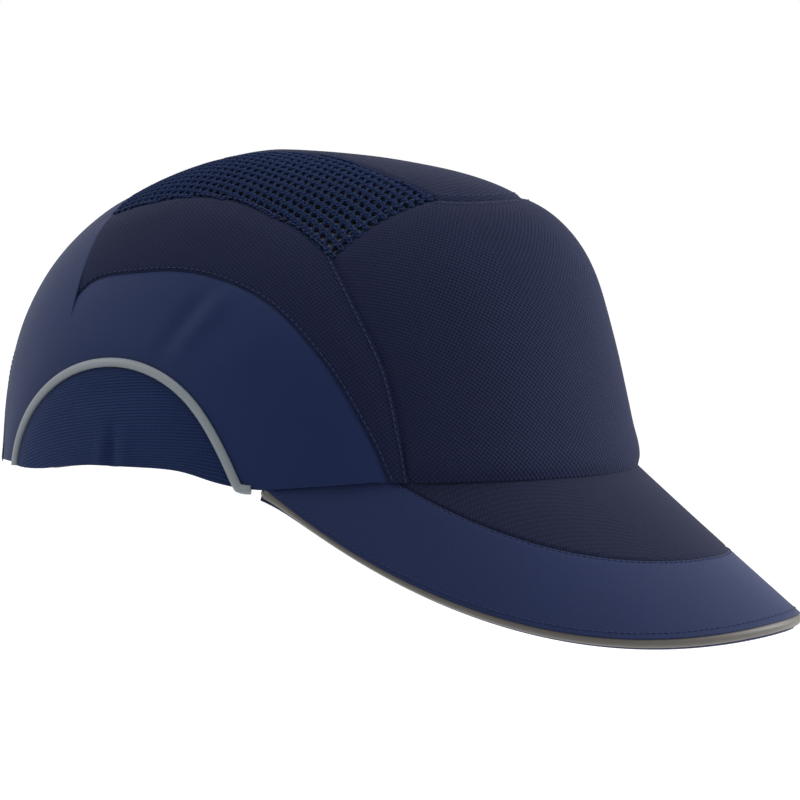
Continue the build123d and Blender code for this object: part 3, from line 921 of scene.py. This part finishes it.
def net_piece(side):
    """The open net: cells with rounded holes, each thickest between its holes, cut off at the seams."""
    border = along(np.column_stack([mesh_border, np.zeros(len(mesh_border))]), np.linspace(0, 1, 900))[:, :2]
    vertices, heights, faces = [], [], []
    for i in range(len(across_steps) - 1):
        for j in range(len(along_steps) - 2):
            shift = 0.5 * (i % 2)
            centre_i = (across_steps[i] + across_steps[i + 1]) / 2
            j_low = along_steps[j] + shift * (along_steps[j + 1] - along_steps[j])
            j_high = along_steps[j + 1] + shift * (along_steps[j + 2] - along_steps[j + 1])
            centre = np.array([centre_i, (j_low + j_high) / 2])
            reach = np.array([across_steps[i + 1] - across_steps[i], j_high - j_low])
            plan = mesh_middle + centre[0] * course_way + centre[1] * wale_way
            around = plan + np.array([[2.2, 0], [-2.2, 0], [0, 2.2], [0, -2.2], [0, 0]])
            if not inside(around, border).any():
                continue
            first = len(vertices)
            for outline, height in cell_rings:
                for a, b in outline * reach:
                    vertices.append(plan + a * course_way + b * wale_way)
                    heights.append(height)
            sides = len(cell_rings[0][0])
            for ring in range(len(cell_rings) - 1):
                for k in range(sides):
                    n = (k + 1) % sides
                    low, high = first + ring * sides, first + (ring + 1) * sides
                    faces.append((low + k, low + n, high + n, high + k))
    plan = held_in(np.array(vertices), border)
    base = from_above(plan)
    gap = nearest(base, [mesh_outline])
    lift = np.array(heights) - mesh_sink - 0.5 * np.exp(-((gap / 1.5) ** 2))
    points = base + crown_normals(base) * lift[:, None]
    if side == LEFT:
        points = mirrored(points)
    uv = plan
    name = "mesh_net_left" if side == LEFT else "mesh_net_right"
    piece = make_piece(name, points, turned_out(points, faces), yarn, uv)
    return thickened(cleaned(piece, 0.05), 0.7)


def wale_paths(side):
    """The lines that the chain stitches of the net follow, with the crown's outward direction."""
    paths = []
    for a in across_steps[:-1]:
        fine = np.arange(along_steps[0], along_steps[-1], 0.8)
        plan = mesh_middle + a * course_way + fine[:, None] * wale_way
        keep = inside(plan, mesh_border)
        if keep.sum() < 4:
            continue
        first, last = np.flatnonzero(keep)[[0, -1]]
        base = from_above(plan[first:last + 1][keep[first:last + 1]])
        ups = crown_normals(base)
        points = base + ups * (0.1 - mesh_sink)
        if side == LEFT:
            points, ups = mirrored(points), mirrored(ups)
        paths.append((points, ups))
    return paths


# ---- rows of stitches: one tree for every seam and for the net's chains --------------------------
def row_tree():
    """Sets a small part along every line of a mesh, a pitch apart, lying on the surface."""
    tree = bpy.data.node_groups.new("row of parts", "GeometryNodeTree")
    inputs = (("Lines", "Geometry"), ("Pitch", "Float"), ("Part", "Object"), ("Material", "Material"))
    for label, kind in inputs:
        tree.interface.new_socket(label, in_out="INPUT", socket_type="NodeSocket" + kind)
    tree.interface.new_socket("Row", in_out="OUTPUT", socket_type="NodeSocketGeometry")
    source, result = tree.nodes.new("NodeGroupInput"), tree.nodes.new("NodeGroupOutput")
    curve = put(tree, "GeometryNodeMeshToCurve", source.outputs["Lines"])
    even = put(tree, "GeometryNodeResampleCurve", mode="LENGTH")
    tree.links.new(curve.outputs[0], even.inputs["Curve"])
    tree.links.new(source.outputs["Pitch"], even.inputs["Length"])
    up = put(tree, "GeometryNodeInputNamedAttribute", "up", data_type="FLOAT_VECTOR")
    tangent = put(tree, "GeometryNodeInputTangent")
    turn = put(tree, "FunctionNodeAxesToRotation", primary_axis="Z", secondary_axis="X")
    tree.links.new(up.outputs["Attribute"], turn.inputs["Primary Axis"])
    tree.links.new(tangent.outputs[0], turn.inputs["Secondary Axis"])
    part = put(tree, "GeometryNodeObjectInfo")
    tree.links.new(source.outputs["Part"], part.inputs["Object"])
    spread = put(tree, "GeometryNodeInstanceOnPoints", even.outputs[0])
    tree.links.new(part.outputs["Geometry"], spread.inputs["Instance"])
    tree.links.new(turn.outputs[0], spread.inputs["Rotation"])
    real = put(tree, "GeometryNodeRealizeInstances", spread.outputs[0])
    coloured = put(tree, "GeometryNodeSetMaterial", real.outputs[0])
    tree.links.new(source.outputs["Material"], coloured.inputs["Material"])
    smoothed = put(tree, "GeometryNodeSetShadeSmooth", coloured.outputs[0])
    tree.links.new(smoothed.outputs[0], result.inputs["Row"])
    return tree


ROWS = row_tree()


def bead(name, strands, sides=6, stations=5):
    """A small part made of thick short strands, each (start, end, width, height) in mm."""
    vertices, faces = [], []
    for start, end, width, height in strands:
        start, end = np.array(start, float), np.array(end, float)
        way = unit(end - start)
        across = unit(np.cross((0, 0, 1), way))
        first = len(vertices)
        for s in range(stations):
            share = s / (stations - 1)
            swell = np.sqrt(max(0.03, 1 - (2 * share - 1) ** 2))
            for k in range(sides):
                turn = 2 * pi * k / sides
                offset = across * np.cos(turn) * width / 2 * swell
                offset = offset + np.array([0, 0, 1]) * np.sin(turn) * height / 2 * swell
                vertices.append(start + (end - start) * share + offset)
        faces += [tuple(first + n for n in face) for face in grid_faces(stations, sides, wrapped=True)]
        faces += [
            tuple(first + k for k in reversed(range(sides))),
            tuple(first + (stations - 1) * sides + k for k in range(sides)),
        ]
    part = make_piece(name, vertices, faces, thread)
    cleaned(part)
    bpy.context.scene.collection.objects.unlink(part)
    return part


def row_of(name, paths, part, pitch, material):
    """One mesh of parts along these paths, each (points, outward directions)."""
    vertices = np.vstack([points for points, _ in paths])
    ups = np.vstack([up for _, up in paths])
    edges, first = [], 0
    for points, _ in paths:
        edges += [(first + k, first + k + 1) for k in range(len(points) - 1)]
        first += len(points)
    mesh = bpy.data.meshes.new(name + "_lines")
    mesh.from_pydata((vertices * MM).tolist(), edges, [])
    up = mesh.attributes.new("up", "FLOAT_VECTOR", "POINT")
    up.data.foreach_set("vector", ups.astype(np.float32).ravel())
    lines = bpy.data.objects.new(name + "_lines", mesh)
    bpy.context.scene.collection.objects.link(lines)
    modifier = lines.modifiers.new("row", "NODES")
    modifier.node_group = ROWS
    values = {"Pitch": pitch * MM, "Part": part, "Material": material}
    for socket in ROWS.interface.items_tree:
        if socket.in_out == "INPUT" and socket.name in values:
            modifier[socket.identifier] = values[socket.name]
    bpy.context.view_layer.update()
    evaluated = lines.evaluated_get(bpy.context.evaluated_depsgraph_get())
    result = bpy.data.meshes.new_from_object(evaluated)
    result.name = name
    lines.modifiers.remove(modifier)
    bpy.data.objects.remove(lines)
    row = bpy.data.objects.new(name, result)
    bpy.context.scene.collection.objects.link(row)
    return row


stitch = bead("stitch", [((-0.85, 0, 0), (0.85, 0, 0), 0.5, 0.42)])
chain_link = bead(
    "chain_link",
    [
        ((-0.95, 0.15, 0.0), (0.75, 0.75, 0.15), 0.75, 0.8),
        ((-0.95, -0.15, 0.0), (0.75, -0.75, 0.15), 0.75, 0.8),
    ],
)


def beside(curve, distance, height=0.0):
    """A line on the crown beside a seam, and the outward directions along it."""
    fine = along(curve, np.linspace(0, 1, max(12, int(length_of(curve) / 1.5))))
    ups = crown_normals(onto_crown(fine))
    tangents = unit(np.gradient(fine, axis=0))
    moved = onto_crown(fine + np.cross(tangents, ups) * distance)
    ups = crown_normals(moved)
    return moved + ups * height, ups


def finish_piece(piece, body, slot, *nodes):
    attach(piece, body)
    if nodes:
        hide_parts(*nodes)
    return piece


for side, end in ((RIGHT, "_right"), (LEFT, "_left")):
    finish_piece(net_piece(side), "cap", "air_mesh", "mesh_panel" + end)
    chains = row_of("mesh_chains" + end, wale_paths(side), chain_link, 1.75, yarn)
    finish_piece(chains, "cap", "air_mesh")

# ---- ear piping ----------------------------------------------------------------------------------
piping_width, piping_height = 3.0, 2.4


def oval(width, height, lift, count=14):
    turn = np.arange(count) / count * 2 * pi
    return np.stack([width / 2 * np.cos(turn), lift + height / 2 * np.sin(turn)], axis=1)


for side, end in ((RIGHT, "_right"), (LEFT, "_left")):
    arch = ear_arch(np.linspace(0.0, pi, 200))
    ups = crown_normals(arch)
    arch = hung(arch, side_hem)
    curl = arch[-1] + np.array([[0.1, -1.2, -0.35], [0.2, -2.6, -0.5], [0.5, -4.0, -0.5]])
    arch, ups = np.vstack([arch, curl]), np.vstack([ups, np.repeat(ups[-1:], 3, axis=0)])
    if side == LEFT:
        arch, ups = mirrored(arch)[::-1], mirrored(ups)[::-1]
    piping = swept("ear_piping_cord" + end, arch, ups, oval(piping_width, piping_height, 0.15), tape)
    finish_piece(piping, "cap", "reflective_tape", "ear_piping" + end)

def closed_slab(name, outer, inner, material):
    """A closed form between two grids of the same size."""
    rows, columns = outer.shape[:2]
    total = rows * columns
    vertices = np.vstack([outer.reshape(-1, 3), inner.reshape(-1, 3)])
    top = grid_faces(rows, columns)
    faces = top + [tuple(n + total for n in reversed(face)) for face in top]
    loop = [c for c in range(columns)]
    loop += [r * columns + columns - 1 for r in range(1, rows)]
    loop += [(rows - 1) * columns + c for c in reversed(range(columns - 1))]
    loop += [r * columns for r in reversed(range(1, rows - 1))]
    faces += [(loop[(k + 1) % len(loop)], loop[k], loop[k] + total, loop[(k + 1) % len(loop)] + total)
              for k in range(len(loop))]
    piece = make_piece(name, vertices, faces, material)
    return normals_out(piece)


# ---- peak ----------------------------------------------------------------------------------------
peak_start_turn = np.arccos(-peak_start_y / opening_front)
cover_margin, under_cover_reach = 0.3, 1.2  # inside and past the board's edge
under_cover_depth, board_margin, board_depths = 4.0, 1.6, (1.0, 3.4)
peak_dip, peak_dip_run = 0.45, 1.0


def peak_ends(turn):
    rim_turn = peak_start_turn * turn
    start = np.stack([
        (opening_half_width - peak_tuck) * np.sin(rim_turn),
        -(opening_front - peak_tuck) * np.cos(rim_turn),
        np.full_like(turn, -rim_clearance),
    ], axis=-1)
    angle = pi / 2 * turn
    depth = peak_drop * (1 - np.abs(turn) ** peak_drop_power) - peak_arch * np.cos(angle) ** 4
    edge = np.stack([
        peak_half_width * np.sin(angle),
        peak_start_y - peak_reach * np.cos(angle),
        -depth - rim_clearance,
    ], axis=-1)
    return start, edge


def peak_point(turn, reach, depth=0.0):
    """A point under the peak's top surface by this depth, at a reach in mm from the rim."""
    turn, reach = np.broadcast_arrays(np.asarray(turn, float), np.asarray(reach, float))

    def top(t, r):
        start, edge = peak_ends(t)
        return start + unit(edge - start) * r[..., None]

    across = top(turn + 0.002, reach) - top(turn - 0.002, reach)
    outwards = top(turn, reach + 1) - top(turn, reach - 1)
    return top(turn, reach) + unit(np.cross(across, outwards)) * np.reshape(depth, np.shape(depth) + (1,))


def peak_span(turn):
    start, edge = peak_ends(np.asarray(turn, float))
    return np.linalg.norm(edge - start, axis=-1)


def peak_seam_reach_at(turn):
    """How far from the rim the seam between the peak's two covers lies, or 0 where it has run out."""
    start, edge = peak_ends(turn)
    low, high = np.zeros_like(turn), np.ones_like(turn)
    for _ in range(40):
        share = (low + high) / 2
        place = start + (edge - start) * share[..., None]
        sideways = place[..., 0] / peak_seam_half_width
        forwards = (place[..., 1] - peak_start_y) / peak_seam_reach
        out = sideways**2 + forwards**2 > 1
        high, low = np.where(out, share, high), np.where(out, low, share)
    return low * np.linalg.norm(edge - start, axis=-1)


def peak_cover(name, turns, first, last, material, seam_gap, depth=0.0, rows=40, thickness=0.9):
    """A cover of the peak between two reaches, dipping where the seam gap is small."""
    shares = gathered(rows)[:, None]
    reach = first[None] + (last - first)[None] * shares
    turn = np.broadcast_to(turns, reach.shape)
    dip = peak_dip * np.exp(-((seam_gap(turn, reach) / peak_dip_run) ** 2))
    points = peak_point(turn, reach, depth + dip)
    flat = points.reshape(-1, 3)
    faces = turned_out(flat, grid_faces(*reach.shape), centre=(0, -100, -400))
    return thickened(cleaned(make_piece(name, flat, faces, material, flat[:, :2])), thickness)


all_turns = peak_turn_limit * np.linspace(-1, 1, 181)
seam_reach = peak_seam_reach_at(all_turns)
has_seam = seam_reach > 0.05
seam_turns = all_turns[has_seam]


def gap_to_seam(turn, reach):
    return np.abs(reach - peak_seam_reach_at(turn)) + 40.0 * (peak_seam_reach_at(turn) <= 0.05)


def no_seam(turn, reach):
    return np.full(reach.shape, 50.0)


inner_cover = peak_cover(
    "peak_inner_cloth", seam_turns, np.zeros_like(seam_turns), seam_reach[has_seam], canvas_fine, gap_to_seam
)
outer_cover = peak_cover(
    "peak_outer_cloth", all_turns, seam_reach, peak_span(all_turns) - cover_margin, peak_twill, gap_to_seam
)
under_cover = peak_cover(
    "peak_under_cloth", all_turns, np.zeros_like(all_turns), peak_span(all_turns) + under_cover_reach,
    peak_twill, no_seam, depth=under_cover_depth,
)
board_turns, board_shares = np.meshgrid(all_turns, gathered(30))
board_reach = board_shares * (peak_span(board_turns) - board_margin)
board = closed_slab(
    "peak_board_sheet", *(peak_point(board_turns, board_reach, depth) for depth in board_depths),
    board_plastic,
)
finish_piece(board, "cap", "board", "peak_board")
finish_piece(inner_cover, "cap", "twill", "peak_inner_cover")
finish_piece(outer_cover, "cap", "twill", "peak_outer_cover")
finish_piece(under_cover, "cap", "twill", "peak_under_cover")

edge_turns = peak_turn_limit * np.linspace(-1, 1, 260)
edge_line = peak_point(edge_turns, peak_span(edge_turns), 0.0)
edge_inner = peak_point(edge_turns, peak_span(edge_turns) - 2.0, 0.0)
edge_outwards = unit(edge_line - edge_inner)
edge_down = unit(peak_point(edge_turns, peak_span(edge_turns), 1.0) - edge_line)
peak_piping_outline = [
    (0.5, -1.2), (0.4, 0.3), (0.75, 1.2), (1.4, 1.65), (2.2, 1.75), (3.0, 1.65), (3.7, 1.15), (4.0, 0.3),
    (4.0, -1.2),
]
rings = (
    edge_line[:, None]
    + edge_down[:, None] * np.array([d for d, _ in peak_piping_outline])[None, :, None]
    + edge_outwards[:, None] * np.array([o for _, o in peak_piping_outline])[None, :, None]
)
count = len(peak_piping_outline)
piping_faces = grid_faces(len(rings), count, wrapped=True)
piping_faces += [tuple(range(count)), tuple((len(rings) - 1) * count + c for c in reversed(range(count)))]
peak_piping = make_piece("peak_piping_tape", rings.reshape(-1, 3), piping_faces, tape_flat)
normals_out(peak_piping)
finish_piece(peak_piping, "cap", "reflective_tape", "peak_piping")

# ---- rear arch binding ---------------------------------------------------------------------------
binding_outline = [
    (3.4, 0.1), (3.4, 0.5), (0.2, 0.6), (-0.6, 0.3), (-0.95, -0.5), (-0.6, -1.4), (0.2, -1.75), (5.6, -1.7),
    (5.6, -1.25), (0.4, -1.2), (-0.1, -0.9), (-0.1, -0.1), (0.4, 0.1),
]
arch_ups = crown_normals(arch_line)
arch_binding = swept("arch_binding_tape", arch_line, arch_ups, binding_outline, binding)
finish_piece(arch_binding, "cap", "webbing", "arch_binding")

# ---- strap ---------------------------------------------------------------------------------------
strap_level = (strap_bottom + strap_top) / 2 / crown_height
_, rear_length, rear_half_width = crown_axes(strap_level)
rear_centre_y = rear_length - rear_half_width**2 / rear_length
strap_columns = 9
strap_radius = 74.0  # about; for lengths along the strap


def rear_point(angle, inset, z):
    """A point behind the head, at an angle from the nape towards the wearer's left."""
    radius = crown_axes(z / crown_height)[1] - rear_centre_y - inset
    turn = np.radians(angle)
    return np.stack([radius * np.sin(turn), rear_centre_y + radius * np.cos(turn), z], axis=-1)


def web(name, stations, spacing=1.0):
    """A length of webbing through stations, each (angle from the nape, inset)."""
    stations = np.array(stations, float)
    flat = stations * np.array([radians(strap_radius), 1.0])
    count = max(12, int(length_of(smooth(flat, 400)) / spacing))
    path = smooth(flat, count) / np.array([radians(strap_radius), 1.0])
    z = np.linspace(strap_bottom, strap_top, strap_columns)
    points = rear_point(path[:, None, 0], path[:, None, 1], np.broadcast_to(z, (count, strap_columns)))
    at = np.concatenate([[0], np.cumsum(np.linalg.norm(np.diff(flat_path(path), axis=0), axis=1))])
    uv = np.stack(np.broadcast_arrays(at[:, None], z[None, :]), axis=2).reshape(-1, 2)
    piece = make_piece(name, points.reshape(-1, 3), grid_faces(count, strap_columns), webbing, uv)
    thickened(piece, strap_thickness, 0.0)
    edge = piece.modifiers.new("edge", "BEVEL")
    edge.width, edge.segments, edge.limit_method = 0.35 * MM, 2, "ANGLE"
    return piece


def flat_path(path):
    return path * np.array([radians(strap_radius), 1.0])


strap_inset, tail_inset = 3.0, 0.45
join_angle = 21.5
strap = web("strap_webbing", [(angle, strap_inset) for angle in (-47, -20, 0, join_angle)])
strap_fold = web(
    "strap_fold",
    [
        (join_angle, strap_inset), (23.5, 3.5), (25.5, 5.1), (27.2, 6.2), (28.6, 6.35), (30.1, 5.5),
        (30.5, 4.1), (30.1, 2.7), (28.6, 1.85), (27.0, 1.5), (24.5, 0.8), (join_angle, tail_inset),
    ],
    spacing=0.5,
)
strap_tail = web("strap_tail_webbing", [(angle, tail_inset) for angle in (-9, 0, 10, join_angle)])
ring_tab = web(
    "ring_tab_webbing",
    [
        (47, 3.0), (42, 3.0), (39.5, 2.5), (37, 1.9), (35.4, 1.75), (33.8, 2.6), (33.4, 4.1), (33.8, 5.6),
        (35.4, 6.4), (37, 6.4), (39, 6.2), (41, 5.7), (43, 5.0),
    ],
    spacing=0.5,
)
strap_middle = (strap_bottom + strap_top) / 2


def place(angle, inset):
    return tuple(float(c) * MM for c in rear_point(np.array(float(angle)), inset, np.array(strap_middle)))


finish_piece(strap, "cap", "webbing", "strap")
finish_piece(ring_tab, "cap", "webbing", "ring_tab")
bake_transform(strap_fold)
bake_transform(strap_tail)
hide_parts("strap_tail")

# ---- sweatband -----------------------------------------------------------------------------------
sweatband_profile = [  # (inset, height above the rim)
    (1.9, 0.3), (1.65, 2.4), (2.2, 4.4), (4.15, 5.6), (4.15, 20.0), (4.2, 32.6), (4.6, 33.8), (5.4, 33.9),
    (5.9, 32.8), (6.0, 30.2), (5.7, 29.0), (6.1, 26.0), (6.35, 17.0), (6.1, 7.0), (5.8, 3.6), (6.0, 2.2),
    (5.5, 0.2), (3.8, -0.4),
]
sweatband_gap_x = 55.0
sweatband_radius = 95.0  # about; for lengths along the band


def at_turn(turn, z, inset):
    """A crown point at a turn from the front and a height."""
    front, back, side = crown_axes(z / (crown_height - inset), inset)
    c = np.cos(turn)
    return np.stack([side * np.sin(turn), -c * np.where(c > 0, front, back), z + 0 * c], axis=-1)


sweatband_end = pi - np.arcsin(sweatband_gap_x / opening_half_width)
sweatband_turns = np.linspace(-sweatband_end, sweatband_end, 300)
band = np.stack([at_turn(sweatband_turns, np.full(300, z), inset) for inset, z in sweatband_profile], axis=1)
band = hung(band, lambda points: np.minimum(side_hem(points), 0.0) * (points[..., 1] > -30))
columns = len(sweatband_profile)
band_faces = grid_faces(300, columns, wrapped=True)
band_faces += [tuple(range(columns)), tuple(299 * columns + c for c in reversed(range(columns)))]
band_uv = np.stack(np.broadcast_arrays(
    sweatband_turns[:, None] * sweatband_radius, np.cumsum([0] + [
        float(np.hypot(b[0] - a[0], b[1] - a[1])) for a, b in zip(sweatband_profile, sweatband_profile[1:])
    ])[None, :]), axis=2).reshape(-1, 2)
sweatband = make_piece("sweatband_terry", band.reshape(-1, 3), band_faces, terry, band_uv)
normals_out(sweatband)
finish_piece(sweatband, "cap", "sweatband", "sweatband")

# ---- pads ----------------------------------------------------------------------------------------
pad_voxel, pad_swell, pad_pressure, pad_frames = 2.0, 0.5, 4.0, 20


def applied(piece):
    """The piece with its modifiers baked into its mesh."""
    bpy.context.view_layer.update()
    mesh = bpy.data.meshes.new_from_object(piece.evaluated_get(bpy.context.evaluated_depsgraph_get()))
    piece.modifiers.clear()
    piece.data = mesh
    return piece


def stuffed(piece):
    """The pad remeshed, swollen by a cloth simulation with a cap on each point's travel, and smoothed."""
    remesh = piece.modifiers.new("even mesh", "REMESH")
    remesh.mode, remesh.voxel_size, remesh.use_smooth_shade = "VOXEL", pad_voxel * MM, True
    applied(piece)
    start = np.array([v.co for v in piece.data.vertices], float)
    cloth_modifier = piece.modifiers.new("cloth", "CLOTH")
    settings = cloth_modifier.settings
    settings.quality = 4
    settings.use_pressure, settings.uniform_pressure_force = True, pad_pressure
    settings.effector_weights.gravity = 0
    cloth_modifier.collision_settings.use_collision = False
    for number in range(1, pad_frames + 1):
        bpy.context.scene.frame_set(number)
    applied(piece)
    bpy.context.scene.frame_set(1)
    moved = np.array([v.co for v in piece.data.vertices], float) - start
    travel = np.linalg.norm(moved, axis=1, keepdims=True)
    capped = start + moved * np.minimum(1, pad_swell * MM / np.maximum(travel, 1e-9))
    piece.data.vertices.foreach_set("co", capped.astype(np.float32).ravel())
    piece.data.update()
    smoother = piece.modifiers.new("round", "SMOOTH")
    smoother.factor, smoother.iterations = 0.5, 3
    applied(piece)
    finer = piece.modifiers.new("finer", "SUBSURF")
    finer.levels = finer.render_levels = 1
    applied(piece)
    piece.data.shade_smooth()
    return piece


def pad(name, places, node):
    """A foam pad between two depths in the crown, over a grid of places in it."""
    outer = onto_crown(places, pad_outer + 0.4)
    inner = onto_crown(places, pad_inner - 0.6)
    piece = stuffed(closed_slab(name, outer, inner, foam))
    finish_piece(piece, "cap", "foam", node)


def turned_grid(start_turn, end_turn, low, high, columns=40, rows=14):
    turn, z = np.meshgrid(np.linspace(start_turn, end_turn, columns), np.linspace(low, high, rows))
    return at_turn(turn, z, pad_outer)


pad_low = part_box("front_pad")[0].z / MM + 0.6
pad_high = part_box("front_pad")[1].z / MM - 0.6
rear_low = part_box("rear_pad")[0].z / MM + 0.6
front_turn, rear_turn = 0.53, 0.52
pad("front_pad_foam", turned_grid(-front_turn, front_turn, pad_low, pad_high), "front_pad")
pad("rear_pad_foam", turned_grid(pi - rear_turn, pi + rear_turn, rear_low, pad_high, rows=8), "rear_pad")
for side, end in ((RIGHT, "_right"), (LEFT, "_left")):
    pad("side_pad_foam" + end, turned_grid(side * 1.24, side * 1.98, pad_low, pad_high), "side_pad" + end)
a, b = np.meshgrid(np.linspace(-1, 1, 40), np.linspace(-1, 1, 44))
disc_x, disc_y = 33.4 * a * np.sqrt(1 - b**2 / 2), -12 + 45.4 * b * np.sqrt(1 - a**2 / 2)
disc = from_above(np.stack([disc_x.ravel(), disc_y.ravel()], axis=1)).reshape(44, 40, 3)
pad("crown_pad_foam", disc, "crown_pad")

# ---- stitching -----------------------------------------------------------------------------------
def both_sides(path):
    points, ups = path
    return [(points, ups), (mirrored(points), mirrored(ups))]


seam_rows = [beside(mesh_front_full, -2.6, 0.12), beside(strip_front_line, 2.4, 0.12)]
seam_rows += both_sides(beside(front_seam_line, 1.3, 0.12))
seam_rows += both_sides(beside(lower_seam_line, -1.1, 0.05))
seam_rows += both_sides(beside(mesh_lower_line, -1.0, 0.05))
finish_piece(row_of("cover_stitches", seam_rows, stitch, 2.1, thread), "cap", "canvas")

top_stitch_reach = peak_span(edge_turns) - 2.6
peak_ups = -unit(
    peak_point(edge_turns, top_stitch_reach, 1.0) - peak_point(edge_turns, top_stitch_reach, 0.0)
)
peak_rows = [(peak_point(edge_turns, top_stitch_reach, -0.05), peak_ups)]
seam_ups = -unit(
    peak_point(seam_turns, seam_reach[has_seam], 1.0) - peak_point(seam_turns, seam_reach[has_seam], 0.0)
)
peak_rows.append((peak_point(seam_turns, seam_reach[has_seam] + 0.8, 0.1), seam_ups))
finish_piece(row_of("peak_stitches", peak_rows, stitch, 2.0, thread), "cap", "twill")
arch_stitch_points, arch_stitch_ups = beside(arch_line, 2.4, 0.6)
arch_row = row_of("arch_stitches", [(arch_stitch_points, arch_stitch_ups)], stitch, 2.2, thread)
finish_piece(arch_row, "cap", "webbing")

# ---- CAD pieces that keep their shape ------------------------------------------------------------
for node, material in (("hard_shell", liner), ("ring", ring_plastic), ("hook_patch", hooks)):
    node_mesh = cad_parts[node].data
    node_mesh.materials.clear()
    node_mesh.materials.append(material)
